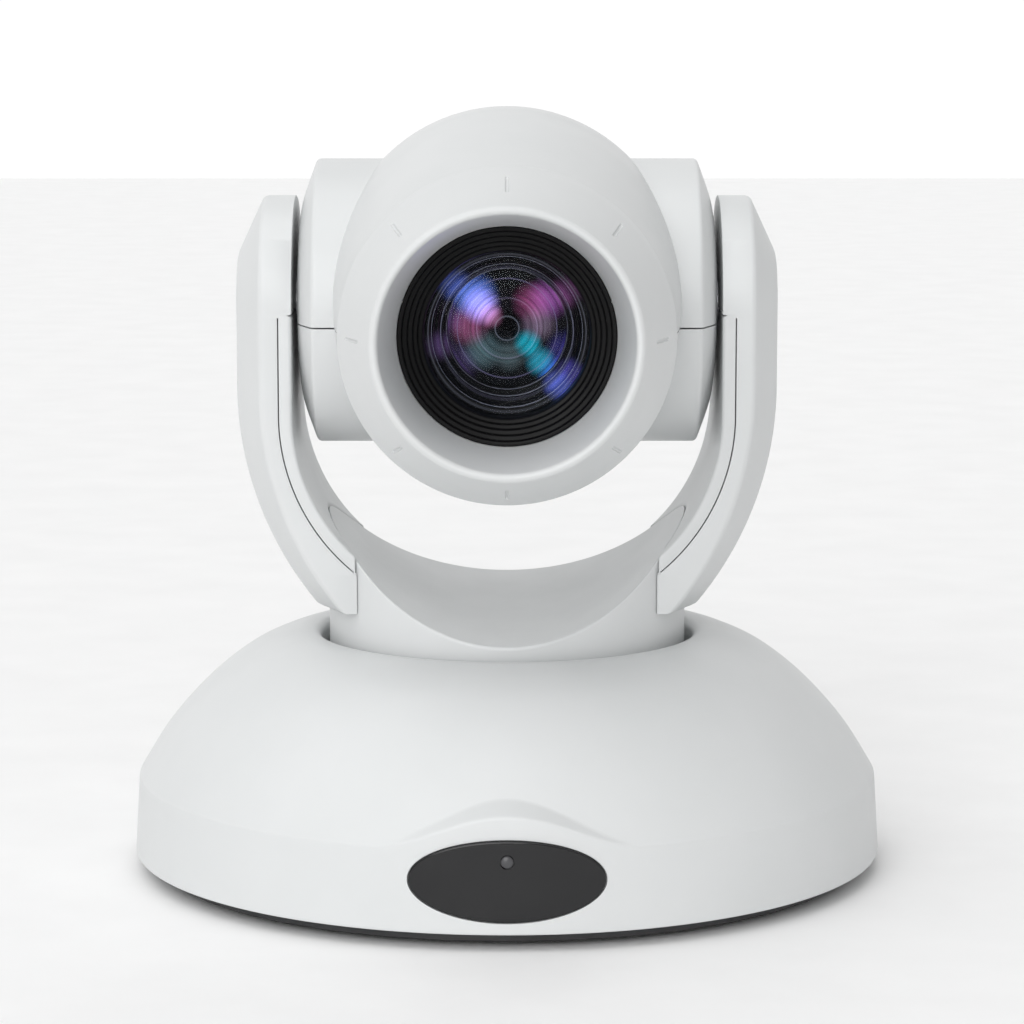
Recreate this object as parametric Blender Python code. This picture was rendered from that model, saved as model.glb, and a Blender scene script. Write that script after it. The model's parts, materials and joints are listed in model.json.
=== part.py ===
"""Conference PTZ camera: domed base, pan turntable, two-armed yoke and tilting zoom camera head.

Units are metres, +Z up. The lens looks along -Y. The origin is under the middle of the base's outline.
Every piece is one closed solid. Moving pieces hang on empties that sit on their joints' axes.
"""
from math import acos, asin, cos, hypot, pi, radians, sin, sqrt, tan

import bmesh
import bpy
from mathutils import Matrix, Vector

MM = 0.001
GAP = 0.3 * MM                      # assembly gap between pieces that touch

# Base
BASE_R = 99.2 * MM                  # belt radius at the shell's lower edge
BASE_BACK = 81.8 * MM               # pan axis to the flat back
BASE_WALL = 3.0 * MM
BELT_BOTTOM = 4.2 * MM
BELT_TOP = 24.4 * MM
BELT_DRAFT = 1.2 * MM               # belt radius lost from bottom to top
RIM_TOP = 62.4 * MM
TURNTABLE_R = 47.2 * MM
RIM_CLEARANCE = 2.1 * MM
RIM_R = TURNTABLE_R + RIM_CLEARANCE  # opening in the dome for the turntable
RIM_DEPTH = 9.0 * MM
PAD_TOP = 33.0 * MM                 # height of the arched pad over the window
PAD_HALF = 34.0 * MM
WINDOW_Z = 17.3 * MM
WINDOW_HALF_W = 24.0 * MM
WINDOW_HALF_H = 10.0 * MM
WINDOW_DEPTH = 1.5 * MM
WINDOW_PROUD = 0.35 * MM
LAMP_R = 1.5 * MM
LAMP_RISE = 4.9 * MM                # lamp above the window's centre

PLATE_BOTTOM = 1.2 * MM
PLATE_T = 2.2 * MM
PLATE_R = BASE_R - 4.5 * MM
SKIRT_TOP = 9.0 * MM
SKIRT_T = 1.8 * MM
FOOT_R = 6.0 * MM
FOOT_H = 1.9 * MM
FOOT_RING = BASE_R - 15.2 * MM
BOSS_RING = BASE_R - 19.2 * MM
BOSS_R = 4.2 * MM
SCREW_R = 1.3 * MM
SCREW_HEAD_R = 2.7 * MM
SCREW_L = 11.0 * MM
TRIPOD_R = 3.21 * MM                # plain bore, its flats clear of a 1/4-20 screw's 3.175 mm
TRIPOD_WALL = 2.4 * MM
TRIPOD_H = 9.0 * MM
TRIPOD_CAP = 1.2 * MM
TRIPOD_FLANGE = 2.5 * MM
TRIPOD_FLANGE_T = 1.5 * MM

PANEL_T = 2.4 * MM
PANEL_RECESS = 2.6 * MM
SOCKET_Z = 18.5 * MM                # centre height of the sockets
BOARD_T = 1.6 * MM
BOARD_Z = 9.0 * MM
BOARD_W = 92.0 * MM
BOARD_FRONT = 24.0 * MM
SOCKET_PROUD = 0.4 * MM             # how far the sockets stand out of the rear panel
SWITCH_X = 46.0 * MM
SWITCH_R = 2.6 * MM
SWITCH_BOX = 4.0 * MM
# Socket name, centre x, body half-width, body height, mouth, and mouth depth
SOCKETS = [
    ("power_jack", -42 * MM, 5.5 * MM, 11 * MM, ("round", 3.2 * MM), 9 * MM),
    ("video_socket", -25 * MM, 9.0 * MM, 8 * MM, ("slot", 7.2 * MM, 2.4 * MM), 9 * MM),
    ("network_socket", -4 * MM, 8.2 * MM, 14 * MM, ("slot", 5.9 * MM, 4.2 * MM), 11 * MM),
    ("usb_socket", 15 * MM, 6.4 * MM, 13 * MM, ("slot", 4.2 * MM, 3.9 * MM), 9 * MM),
    ("serial_socket", 32 * MM, 7.0 * MM, 14 * MM, ("round", 4.6 * MM), 8 * MM),
]

# Pan drive
CHASSIS_Z = 33.0 * MM
CHASSIS_T = 3.0 * MM
CHASSIS_R = 56.0 * MM
LEG_RING = 52.0 * MM
LEG_R = 4.0 * MM
SPINDLE_R = 8.0 * MM
SPINDLE_BORE = 5.0 * MM
SPINDLE_BOTTOM = 25.0 * MM
BEARING_R = 11.0 * MM
BEARING_H = 7.0 * MM
PAN_TEETH = 48
PAN_PINION_TEETH = 16
PAN_MODULE = 1.0 * MM
PAN_GEAR_Z = 41.0 * MM
PAN_GEAR_T = 5.0 * MM
PAN_MOTOR_R = 13.0 * MM
PAN_MOTOR_H = 19.0 * MM
PAN_SHAFT_R = 1.5 * MM
SHAFT_DEPTH = 6.0 * MM
SPINDLE_FLANGE_R = 18.0 * MM
CLIP_T = 1.0 * MM
CLIP_SINK = 1.0 * MM
PINION_LAP = 0.5 * MM               # a pinion is this much wider than its gear, each side

# Heights and widths that the yoke and the head share
TILT_Z = 149.7 * MM
DRUM_R = 37.1 * MM
DRUM_HALF = 49.5 * MM
DRUM_DOMING = 4.7 * MM              # how far the drum's ends bulge
DRUM_CAP = DRUM_HALF + DRUM_DOMING
HEAD_PLAY = 1.0 * MM                # between the drum's ends and the arms

# Yoke
TURNTABLE_BOTTOM = 50.0 * MM
TURNTABLE_WALL = 2.4 * MM
ARM_LEDGE = 70.5 * MM
ARM_HALF = 27.5 * MM                # half of an arm's width, front to back
ARM_INNER = DRUM_CAP + HEAD_PLAY
ARM_T = 15.2 * MM
ARM_OUTER = ARM_INNER + ARM_T
ARM_CHAMFER = 6.9 * MM
ARM_CHAMFER_W = 14.8 * MM
OUTER_ARC_Z = TILT_Z - 21.7 * MM
OUTER_LEAN = 20.98 * MM             # how far the arm's outer face leans in down to the ledge
OUTER_ARC_R = (OUTER_LEAN ** 2 + (OUTER_ARC_Z - ARM_LEDGE) ** 2) / (2 * OUTER_LEAN)
INNER_ARC_R = 49.3 * MM
INNER_ARC_Z = TILT_Z - 27.7 * MM
INNER_ARC_X = ARM_INNER - INNER_ARC_R
SADDLE_HALF = TURNTABLE_R - 6.2 * MM
SADDLE_SIDE_Z = INNER_ARC_Z - sqrt(INNER_ARC_R ** 2 - (SADDLE_HALF - INNER_ARC_X) ** 2)
SADDLE_MID_Z = SADDLE_SIDE_Z - 19.5 * MM
SADDLE_SLOPE = 0.0534               # saddle's rise from front to back
ABOVE_ARMS = TILT_Z + ARM_HALF + 20 * MM
COVER_T = 3.3 * MM
COVER_TOP = TILT_Z - 1.9 * MM
ARM_WALL = 2.4 * MM
FRAME_T = 2.0 * MM
FRAME_HALF = 11.5 * MM
FRAME_PLAY = 0.5 * MM
FRAME_REACH = TURNTABLE_R - TURNTABLE_WALL - FRAME_PLAY
FRAME_X = sqrt(FRAME_REACH ** 2 - FRAME_HALF ** 2) - FRAME_T / 2
FRAME_FLOOR = 54.0 * MM
FRAME_EYE_R = 15.0 * MM
FRAME_BEND = 3.0 * MM

# Head
LENS_DROP = 3.5 * MM                # lens axis below the tilt axis
HEAD_WALL = 2.2 * MM
HEAD_SEAM = -4.3 * MM               # seam plane, from the tilt axis
HEAD_FRONT = -66.0 * MM
BARREL_MOUTH_R = 40.3 * MM
BARREL_BACK = 54.0 * MM
# The housing's circles from front to back: place along Y, centre above the tilt axis, radius
BARREL = [
    (HEAD_FRONT, -LENS_DROP, BARREL_MOUTH_R),
    (-40.0 * MM, 1.1 * MM, 43.8 * MM),
    (-15.0 * MM, 4.8 * MM, 45.2 * MM),
    (5.0 * MM, 5.3 * MM, 45.4 * MM),
    (25.0 * MM, 3.8 * MM, 43.5 * MM),
    (40.0 * MM, 1.6 * MM, 38.0 * MM),
    (49.0 * MM, 0.3 * MM, 29.5 * MM),
    (BARREL_BACK, 0.0, 17.0 * MM),
]
COLUMN_R = 3.7 * MM
COLUMN_X = 34.0 * MM
COLUMN_FRONT_Y = -22.0 * MM
COLUMN_BACK_Y = 38.0 * MM
HEAD_SCREW_R = 1.1 * MM
HEAD_SCREW_HEAD = 2.5 * MM
HEAD_SCREW_SEAT = -24.0 * MM
HEAD_SCREW_L = 26.0 * MM
BEZEL_BACK = -67.9 * MM
BEZEL_FRONT = -91.5 * MM
BEZEL_R = BARREL_MOUTH_R + 1.3 * MM
BEZEL_EDGE = 0.9 * MM
GLASS_R = 20.3 * MM
HOOD_INNER_R = GLASS_R + 6.7 * MM
HOOD_R = HOOD_INNER_R + 4.8 * MM
HOOD_INNER_Y = -69.5 * MM
STUB_R = 6.0 * MM
STUB_BORE = 4.0 * MM
STUB_FLANGE_R = 9.5 * MM
TILT_BEARING_R = 10.0 * MM
TILT_TEETH = 36
TILT_PINION_TEETH = 16
TILT_MODULE = 0.8 * MM
TILT_GEAR_X = DRUM_CAP - 11.2 * MM
TILT_GEAR_T = 3.5 * MM
TILT_MOTOR_R = 10.0 * MM
TILT_MOTOR_L = 17.0 * MM
TILT_MOTOR_ANGLE = radians(-45)     # of the pinion about the tilt axis, from the back
TILT_SHAFT_R = 1.2 * MM
TILT_BEARING_T = 4.0 * MM

# Lens
GLASS_Y = -62.0 * MM
TUBE_R = GLASS_R + 3.2 * MM
BORE = 15.0 * MM
CELL_R = BORE + 3.0 * MM
WIDE_BORE = GLASS_R - 1.3 * MM
WIDE_BORE_END = -44.0 * MM
TUBE_END = -30.0 * MM
CELL_END = 12.0 * MM
ROD_X = BORE - 2.8 * MM
ROD_R = 0.9 * MM
IRIS_Y = -24.0 * MM
IRIS_HOLE = 2.8 * MM
ZOOM_Y = -38.0 * MM
FOCUS_Y = -12.0 * MM
CARRIER_T = 4.0 * MM
IRIS_T = 1.2 * MM
ZOOM_LENS_R = 9.3 * MM
FOCUS_LENS_R = 7.3 * MM
BRACKET_HALF = CELL_R + 5.5 * MM
BRACKET_T = 1.5 * MM
BRACKET_TOP = 12.0 * MM
SENSOR_HALF = (7.0 * MM, 6.0 * MM)
SENSOR_T = 2.0 * MM
SENSOR_BOARD_HALF = (19.0 * MM, 18.0 * MM)

BACKLASH = 0.3 * MM
MESH_PLAY = 0.15 * MM               # added to the gears' centre distance

WHITE = (0.80, 0.81, 0.82)
BLACK = (0.015, 0.015, 0.017)
STEEL = (0.55, 0.56, 0.58)


WELD_DISTANCES = (2e-6, 5e-7, 1e-7)


# ---------------------------------------------------------------- helpers

def clear_scene():
    for old in list(bpy.data.objects):
        bpy.data.objects.remove(old, do_unlink=True)


def material(name, colour, roughness=0.5, metallic=0.0, transmission=0.0):
    found = bpy.data.materials.new(name)
    found.use_nodes = True
    shader = found.node_tree.nodes["Principled BSDF"]
    shader.inputs["Base Color"].default_value = (*colour, 1.0)
    shader.inputs["Roughness"].default_value = roughness
    shader.inputs["Metallic"].default_value = metallic
    shader.inputs["Transmission Weight"].default_value = transmission
    return found


def pivot(name, parent, location):
    empty = bpy.data.objects.new(name, None)
    bpy.context.scene.collection.objects.link(empty)
    empty.parent = parent
    empty.location = location
    return empty


def to_object(name, bm, parent=None):
    bmesh.ops.recalc_face_normals(bm, faces=bm.faces)
    mesh = bpy.data.meshes.new(name)
    bm.to_mesh(mesh)
    bm.free()
    mesh.shade_smooth()
    mesh.set_sharp_from_angle(angle=radians(32))
    made = bpy.data.objects.new(name, mesh)
    bpy.context.scene.collection.objects.link(made)
    made.parent = parent
    return made


def finish(made, look, parent):
    made.data.materials.clear()
    made.data.materials.append(look)
    made.parent = parent
    return made


def smooth_through(points, steps):
    """A Catmull-Rom curve through the points."""
    ends = [points[0]] + list(points) + [points[-1]]
    curve = []
    for a, b, c, d in zip(ends, ends[1:], ends[2:], ends[3:]):
        for i in range(steps):
            t = i / steps
            curve.append(tuple(
                0.5 * (2 * b[k] + (c[k] - a[k]) * t + (2 * a[k] - 5 * b[k] + 4 * c[k] - d[k]) * t * t
                       + (3 * b[k] - a[k] - 3 * c[k] + d[k]) * t ** 3) for k in (0, 1)))
    return curve + [tuple(points[-1])]


def turned(name, outline, axis="Z", centre=(0, 0, 0), segments=48):
    """A solid turned about an axis, from (radius, height) points. Points at radius 0 close it."""
    bm = bmesh.new()
    verts = [bm.verts.new((r, 0, h)) for r, h in outline]
    for a, b in zip(verts, verts[1:]):
        bm.edges.new((a, b))
    if all(r > 0 for r, _ in outline):
        bm.edges.new((verts[-1], verts[0]))
    bmesh.ops.spin(bm, geom=bm.verts[:] + bm.edges[:], axis=(0, 0, 1), cent=(0, 0, 0),
                   angle=2 * pi, steps=segments, use_merge=True)
    bmesh.ops.remove_doubles(bm, verts=bm.verts, dist=1e-7)
    turn = {"Z": Matrix(), "Y": Matrix.Rotation(-pi / 2, 4, "X"), "X": Matrix.Rotation(pi / 2, 4, "Y")}
    bm.transform(Matrix.Translation(centre) @ turn[axis])
    return to_object(name, bm)


def rod(name, radius, start, end, axis="Z", centre=(0, 0), segments=16):
    """A cylinder from start to end along an axis. centre is its place in the other two axes."""
    place = {"Z": (*centre, 0), "Y": (centre[0], 0, centre[1]), "X": (0, *centre)}[axis]
    return turned(name, [(0, start), (radius, start), (radius, end), (0, end)], axis, place, segments)


def ring(name, inner, outer, start, end, axis="Z", centre=(0, 0), segments=24):
    """A plain ring from start to end along an axis."""
    place = {"Z": (*centre, 0), "Y": (centre[0], 0, centre[1]), "X": (0, *centre)}[axis]
    outline = [(inner, start), (outer, start), (outer, end), (inner, end)]
    return turned(name, outline, axis, place, segments)


def block(name, low, high, bevel=0.0):
    """A box between two corners, with its edges bevelled."""
    bm = bmesh.new()
    bmesh.ops.create_cube(bm, size=1.0)
    size = Vector(high) - Vector(low)
    middle = (Vector(high) + Vector(low)) / 2
    bm.transform(Matrix.Translation(middle) @ Matrix.Diagonal((*size, 1.0)))
    if bevel:
        bmesh.ops.bevel(bm, geom=bm.edges[:], offset=bevel, segments=2, profile=0.5, affect="EDGES")
    return to_object(name, bm)


def extruded(name, outline, start, end, axis="Y"):
    """A prism. The outline is (x, z) for axis Y, (x, y) for axis Z and (y, z) for axis X."""
    place = {"Y": lambda p, h: (p[0], h, p[1]), "Z": lambda p, h: (p[0], p[1], h),
             "X": lambda p, h: (h, p[0], p[1])}[axis]
    return lofted(name, [[place(p, start) for p in outline], [place(p, end) for p in outline]])


def lofted(name, sections):
    """A solid through sections that have the same number of points."""
    bm = bmesh.new()
    loops = [[bm.verts.new(p) for p in section] for section in sections]
    for low, high in zip(loops, loops[1:]):
        for i in range(len(low)):
            j = (i + 1) % len(low)
            bm.faces.new((low[i], low[j], high[j], high[i]))
    bm.faces.new(loops[0])
    bm.faces.new(loops[-1])
    return to_object(name, bm)


def combine(target, tool, operation="DIFFERENCE"):
    """Applies one exact Boolean and removes the tool."""
    step = target.modifiers.new(operation.title(), "BOOLEAN")
    step.object = tool
    step.operation = operation
    step.solver = "EXACT"
    bpy.context.view_layer.update()
    result = bpy.data.meshes.new_from_object(target.evaluated_get(bpy.context.evaluated_depsgraph_get()))
    target.modifiers.clear()
    result.name = target.name
    target.data = result
    bpy.data.objects.remove(tool, do_unlink=True)
    weld(target)
    return target


def weld(target):
    """Merges the slivers that a cut leaves, by the largest distance that keeps the surface closed."""
    for distance in WELD_DISTANCES:
        bm = bmesh.new()
        bm.from_mesh(target.data)
        bmesh.ops.remove_doubles(bm, verts=bm.verts, dist=distance)
        bmesh.ops.dissolve_degenerate(bm, dist=distance / 2, edges=bm.edges)
        closed = all(len(edge.link_faces) == 2 for edge in bm.edges)
        if closed:
            bm.to_mesh(target.data)
        bm.free()
        if closed:
            break
    target.data.set_sharp_from_angle(angle=radians(32))


def cut(target, *tools):
    for tool in tools:
        combine(target, tool, "DIFFERENCE")
    return target


def join(target, *tools):
    for tool in tools:
        combine(target, tool, "UNION")
    return target


def common(target, tool):
    return combine(target, tool, "INTERSECT")


def around(radius, degrees):
    return radius * cos(radians(degrees)), radius * sin(radians(degrees))


def gear_outline(teeth, module, turn=0.0):
    """Involute teeth at 20 degrees, thinned by the backlash."""
    pitch = teeth * module / 2
    base = pitch * cos(radians(20))
    root = pitch - 1.2 * module
    tip = pitch + 0.85 * module

    def involute(radius):
        pressure = acos(min(1.0, base / radius))
        return tan(pressure) - pressure

    half = pi / (2 * teeth) - BACKLASH / (2 * pitch) + involute(pitch)
    flank = [(root, half - involute(max(root, base))), (tip, half - involute(tip))]
    points = []
    for tooth in range(teeth):
        middle = turn + 2 * pi * tooth / teeth
        points += [(r * cos(middle - a), r * sin(middle - a)) for r, a in flank]
        points += [(r * cos(middle + a), r * sin(middle + a)) for r, a in reversed(flank)]
    return points


# ---------------------------------------------------------------- base

def belt_radius(z):
    return BASE_R - BELT_DRAFT * (z - BELT_BOTTOM) / (BELT_TOP - BELT_BOTTOM)


def dome_curve(offset=0.0, steps=2):
    """The dome from the belt's crease up to the rim, moved inwards by offset."""
    crease = (belt_radius(BELT_TOP), BELT_TOP)
    rise = RIM_TOP - BELT_TOP
    span = crease[0] - RIM_R
    shares = [(0.0, 0.005), (0.16, 0.33), (0.37, 0.63), (0.575, 0.84), (0.75, 0.95), (0.89, 1.0)]
    points = [(crease[0] - offset - u * span, crease[1] + v * rise - offset * (0.35 + 0.65 * v))
              for u, v in shares]
    return smooth_through(points, steps)


def make_base_shell(look, parent):
    lip = [(RIM_R + 2.6 * MM, RIM_TOP), (RIM_R + 0.8 * MM, RIM_TOP - 0.7 * MM), (RIM_R, RIM_TOP - 2.2 * MM)]
    outline = [(0, BELT_BOTTOM), (BASE_R, BELT_BOTTOM), (belt_radius(BELT_TOP), BELT_TOP)]
    outline += dome_curve() + lip + [(RIM_R, RIM_TOP - RIM_DEPTH), (0, RIM_TOP - RIM_DEPTH)]
    shell = turned("base_shell", outline, segments=40)
    join(shell, window_pad())
    cut(shell, base_hollow(0.0))
    back = block("back_cut", (-BASE_R * 2, BASE_BACK, -1), (BASE_R * 2, BASE_R * 2, 1))
    cut(shell, back)
    for x, y in boss_places():
        hole = rod("boss_hole", SCREW_R + GAP, 0, PLATE_BOTTOM + SCREW_L + 2 * MM, centre=(x, y), segments=8)
        cut(shell, hole)
    pocket = ellipse_prism(GAP)
    cut(pocket, rod("pocket_floor", belt_radius(WINDOW_Z) - WINDOW_DEPTH - GAP, -0.1, 0.2, segments=48))
    cut(shell, pocket)
    return finish(shell, look, parent)


def window_pad():
    """The arch over the window: the belt's surface carried up in front of the dome."""
    base_z = BELT_TOP - 6 * MM
    top_z = PAD_TOP + MM
    sink = 0.02 * MM
    outline = [(0, base_z), (belt_radius(base_z) - sink, base_z),
               (belt_radius(top_z) - sink, top_z), (0, top_z)]
    belt = turned("belt", outline, segments=40)
    steps = 12
    rise = PAD_TOP - BELT_TOP
    arch = []
    for i in range(steps + 1):
        x = PAD_HALF * (1 - 2 * i / steps)
        arch.append((x, BELT_TOP - MM + (rise + MM) * (0.5 + 0.5 * cos(pi * x / PAD_HALF)) ** 0.8))
    arch += [(-PAD_HALF, base_z - MM), (PAD_HALF, base_z - MM)]
    return common(belt, extruded("arch", arch, -BASE_R * 1.1, -BASE_R * 0.8))


def base_hollow(shrink):
    """The room inside the base, with the screw bosses left standing."""
    inner = belt_radius(BELT_TOP) - BASE_WALL - shrink
    outline = [(0, BELT_BOTTOM - MM), (inner, BELT_BOTTOM - MM), (inner, BELT_TOP - MM)]
    outline += dome_curve(BASE_WALL + shrink, 1)[1:]
    neck = RIM_R + BASE_WALL
    outline = [p for p in outline if p[0] > neck or p[0] == 0]
    floor = RIM_TOP - RIM_DEPTH - shrink
    outline += [(neck, RIM_TOP - 4 * MM - shrink), (neck, floor), (RIM_R - MM - shrink, floor)]
    if not shrink:
        outline += [(RIM_R, RIM_TOP - 8 * MM), (RIM_R, RIM_TOP + MM), (0, RIM_TOP + MM)]
    else:
        outline += [(0, floor)]
    hollow = turned("base_hollow", outline, segments=32)
    for x, y in boss_places():
        bottom = PLATE_BOTTOM + PLATE_T + GAP - shrink
        cut(hollow, rod("boss", BOSS_R + shrink, bottom, RIM_TOP, centre=(x, y), segments=8))
    return hollow


def boss_places():
    return [around(BOSS_RING, angle) for angle in (-135, -45, 45, 135)]


def ellipse_prism(grow):
    angles = [2 * pi * i / 28 for i in range(28)]
    outline = [((WINDOW_HALF_W + grow) * cos(a), WINDOW_Z + (WINDOW_HALF_H + grow) * sin(a)) for a in angles]
    return extruded("window", outline, -BASE_R * 1.1, -BASE_R * 0.8)


def make_front_window(look, parent):
    window = ellipse_prism(0.0)
    outer = belt_radius(WINDOW_Z) + WINDOW_PROUD
    sleeve = ring("sleeve", outer - WINDOW_DEPTH, outer, -0.1, 0.2, segments=48)
    common(window, sleeve)
    window.name = "front_window"
    z = WINDOW_Z + LAMP_RISE
    cut(window, rod("lamp_hole", LAMP_R + GAP, -0.12, 0, "Y", (0, z), 16))
    return finish(window, look, parent)


def make_status_lamp(look, parent):
    outer = belt_radius(WINDOW_Z) + WINDOW_PROUD
    z = WINDOW_Z + LAMP_RISE
    lamp = rod("status_lamp", LAMP_R, -outer, -outer + WINDOW_DEPTH - GAP, "Y", (0, z), 16)
    return finish(lamp, look, parent)


def foot_places():
    return [around(FOOT_RING, angle) for angle in (-150, -30, 30, 150)]


def make_bottom_plate(look, parent):
    top = PLATE_BOTTOM + PLATE_T
    skirt = belt_radius(BELT_TOP) - BASE_WALL - GAP
    outer = skirt - 1.4 * MM
    inner = outer - SKIRT_T
    outline = [(0, PLATE_BOTTOM), (PLATE_R - 0.9 * MM, PLATE_BOTTOM), (PLATE_R, PLATE_BOTTOM + 0.6 * MM),
               (PLATE_R, top), (outer, top), (outer, SKIRT_TOP), (inner, SKIRT_TOP), (inner, top), (0, top)]
    plate = turned("bottom_plate", outline, segments=40)
    cut(plate, block("back_cut", (-1, BASE_BACK - 0.4 * MM, -1), (1, 1, 1)))
    cut(plate, block("skirt_cut", (-BASE_R * 0.7, BASE_BACK - 12 * MM, top),
                     (BASE_R * 0.7, 1, SKIRT_TOP + MM)))
    for x, y in foot_places():
        cut(plate, rod("foot_pocket", FOOT_R + GAP, 0, FOOT_H + GAP, centre=(x, y), segments=12))
    for x, y in boss_places():
        cut(plate, rod("screw_seat", SCREW_HEAD_R + GAP, 0, PLATE_BOTTOM + 1.3 * MM,
                       centre=(x, y), segments=8))
        cut(plate, rod("screw_hole", SCREW_R + GAP, 0, 0.01, centre=(x, y), segments=8))
        cut(plate, rod("boss_room", BOSS_R + 2 * GAP, top, 0.02, centre=(x, y), segments=8))
    for x, y in standoff_places():
        join(plate, rod("standoff", 3 * MM, top - MM, BOARD_Z - GAP, centre=(x, y), segments=8))
    cut(plate, rod("tripod_hole", TRIPOD_R + TRIPOD_WALL + GAP, 0, 0.01))
    return finish(plate, look, parent)


def standoff_places():
    x = BOARD_W / 2 - 6 * MM
    return [(sx * x, y) for sx in (-1, 1) for y in (BOARD_FRONT + 6 * MM, BASE_BACK - 24 * MM)]


def make_base_hardware(looks, parent):
    for number, (x, y) in enumerate(foot_places(), 1):
        outline = [(0, 0), (FOOT_R - 0.5 * MM, 0), (FOOT_R, 0.5 * MM), (FOOT_R, FOOT_H), (0, FOOT_H)]
        finish(turned(f"foot_{number}", outline, centre=(x, y, 0), segments=12), looks["rubber"], parent)
    for number, (x, y) in enumerate(boss_places(), 1):
        seat = PLATE_BOTTOM + MM
        outline = [(0, PLATE_BOTTOM - 0.2 * MM), (SCREW_HEAD_R, PLATE_BOTTOM - 0.2 * MM), (SCREW_HEAD_R, seat),
                   (SCREW_R, seat), (SCREW_R, PLATE_BOTTOM + SCREW_L), (0, PLATE_BOTTOM + SCREW_L)]
        finish(turned(f"base_screw_{number}", outline, centre=(x, y, 0), segments=8), looks["steel"], parent)
    outer = TRIPOD_R + TRIPOD_WALL
    seat = PLATE_BOTTOM + PLATE_T + GAP
    top = PLATE_BOTTOM + TRIPOD_H
    flange = outer + TRIPOD_FLANGE
    outline = [(0, top - TRIPOD_CAP), (TRIPOD_R, top - TRIPOD_CAP), (TRIPOD_R, PLATE_BOTTOM),
               (outer, PLATE_BOTTOM), (outer, seat), (flange, seat), (flange, seat + TRIPOD_FLANGE_T),
               (outer, seat + TRIPOD_FLANGE_T), (outer, top), (0, top)]
    finish(turned("tripod_insert", outline, segments=24), looks["brass"], parent)


def panel_planes():
    outer = BASE_BACK - PANEL_RECESS
    return outer - PANEL_T, outer


def make_rear_panel(look, parent):
    inner, outer = panel_planes()
    panel = base_hollow(GAP)
    panel.name = "rear_panel"
    common(panel, block("slab", (-0.1, inner, PLATE_BOTTOM + PLATE_T + GAP), (0.1, outer, RIM_TOP)))
    for _, x, half, height, _, _ in SOCKETS:
        low = (x - half - GAP, inner - MM, SOCKET_Z - height / 2 - GAP)
        high = (x + half + GAP, outer + MM, SOCKET_Z + height / 2 + GAP)
        cut(panel, block("socket_hole", low, high))
    cut(panel, rod("switch_hole", SWITCH_R + GAP, 0.05, 0.1, "Y", (SWITCH_X, SOCKET_Z), 20))
    return finish(panel, look, parent)


def make_sockets(look, parent):
    inner, outer = panel_planes()
    for name, x, half, height, mouth, depth in SOCKETS:
        front = inner - 10 * MM
        low = (x - half, front, SOCKET_Z - height / 2)
        body = block(name, low, (x + half, outer + SOCKET_PROUD, SOCKET_Z + height / 2))
        face = outer + MM
        floor = outer + SOCKET_PROUD - depth
        if mouth[0] == "round":
            cut(body, rod("mouth", mouth[1], floor, face, "Y", (x, SOCKET_Z), 16))
        else:
            cut(body, block("mouth", (x - mouth[1], floor, SOCKET_Z - mouth[2]),
                            (x + mouth[1], face, SOCKET_Z + mouth[2])))
        finish(body, look, parent)


def make_switch(looks, base, knob_pivot):
    inner, _ = panel_planes()
    housing = block("switch_housing", (SWITCH_X - SWITCH_BOX, inner - 6 * MM, SOCKET_Z - SWITCH_BOX),
                    (SWITCH_X + SWITCH_BOX, inner - GAP, SOCKET_Z + SWITCH_BOX))
    cut(housing, rod("well", SWITCH_R + GAP, inner - 4 * MM, inner + MM, "Y", (SWITCH_X, SOCKET_Z), 20))
    finish(housing, looks["black"], base)
    knob = rod("switch_knob", SWITCH_R, -2.6 * MM, 0.8 * MM, "Y", (0, 0), 20)
    cut(knob, block("slot", (-0.4 * MM, 0, -2 * MM), (0.4 * MM, MM, 2 * MM)))
    finish(knob, looks["nylon"], knob_pivot)


def make_main_board(look, parent):
    board = block("main_board", (-BOARD_W / 2, BOARD_FRONT, BOARD_Z),
                  (BOARD_W / 2, BASE_BACK - 7 * MM, BOARD_Z + BOARD_T))
    return finish(board, look, parent)


def pan_centres():
    return (PAN_TEETH + PAN_PINION_TEETH) * PAN_MODULE / 2 + MESH_PLAY


def make_pan_chassis(look, parent):
    top = CHASSIS_Z + CHASSIS_T
    chassis = rod("pan_chassis", CHASSIS_R, CHASSIS_Z, top, segments=28)
    join(chassis, rod("hub", BEARING_R + 4 * MM, CHASSIS_Z - 3 * MM, top - MM, segments=24))
    for angle in (-140, -40, 10, 170):
        place = around(LEG_RING, angle)
        leg = rod("leg", LEG_R, PLATE_BOTTOM + PLATE_T + GAP, CHASSIS_Z + MM, centre=place, segments=8)
        join(chassis, leg)
    cut(chassis, rod("bearing_seat", BEARING_R + GAP, CHASSIS_Z - MM, 0.1, segments=24))
    cut(chassis, rod("spindle_way", SPINDLE_R + 1.2 * MM, 0, 0.1, segments=24))
    cut(chassis, rod("shaft_way", 2.6 * MM, 0, 0.1, centre=(0, -pan_centres()), segments=16))
    return finish(chassis, look, parent)


def make_pan_bearing(look, parent):
    bottom = CHASSIS_Z - MM + GAP
    outline = [(SPINDLE_R + GAP, bottom), (BEARING_R, bottom), (BEARING_R, bottom + BEARING_H - 3 * MM),
               (SPINDLE_R + GAP, bottom + BEARING_H - 3 * MM)]
    return finish(turned("pan_bearing", outline, segments=32), look, parent)


def make_pan_motor(look, parent):
    y = -pan_centres()
    top = CHASSIS_Z - GAP
    motor = rod("pan_motor", PAN_MOTOR_R, top - PAN_MOTOR_H, top, centre=(0, y), segments=24)
    cut(motor, rod("shaft_bore", PAN_SHAFT_R + GAP, top - SHAFT_DEPTH, 0.1, centre=(0, y), segments=8))
    return finish(motor, look, parent)


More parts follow.
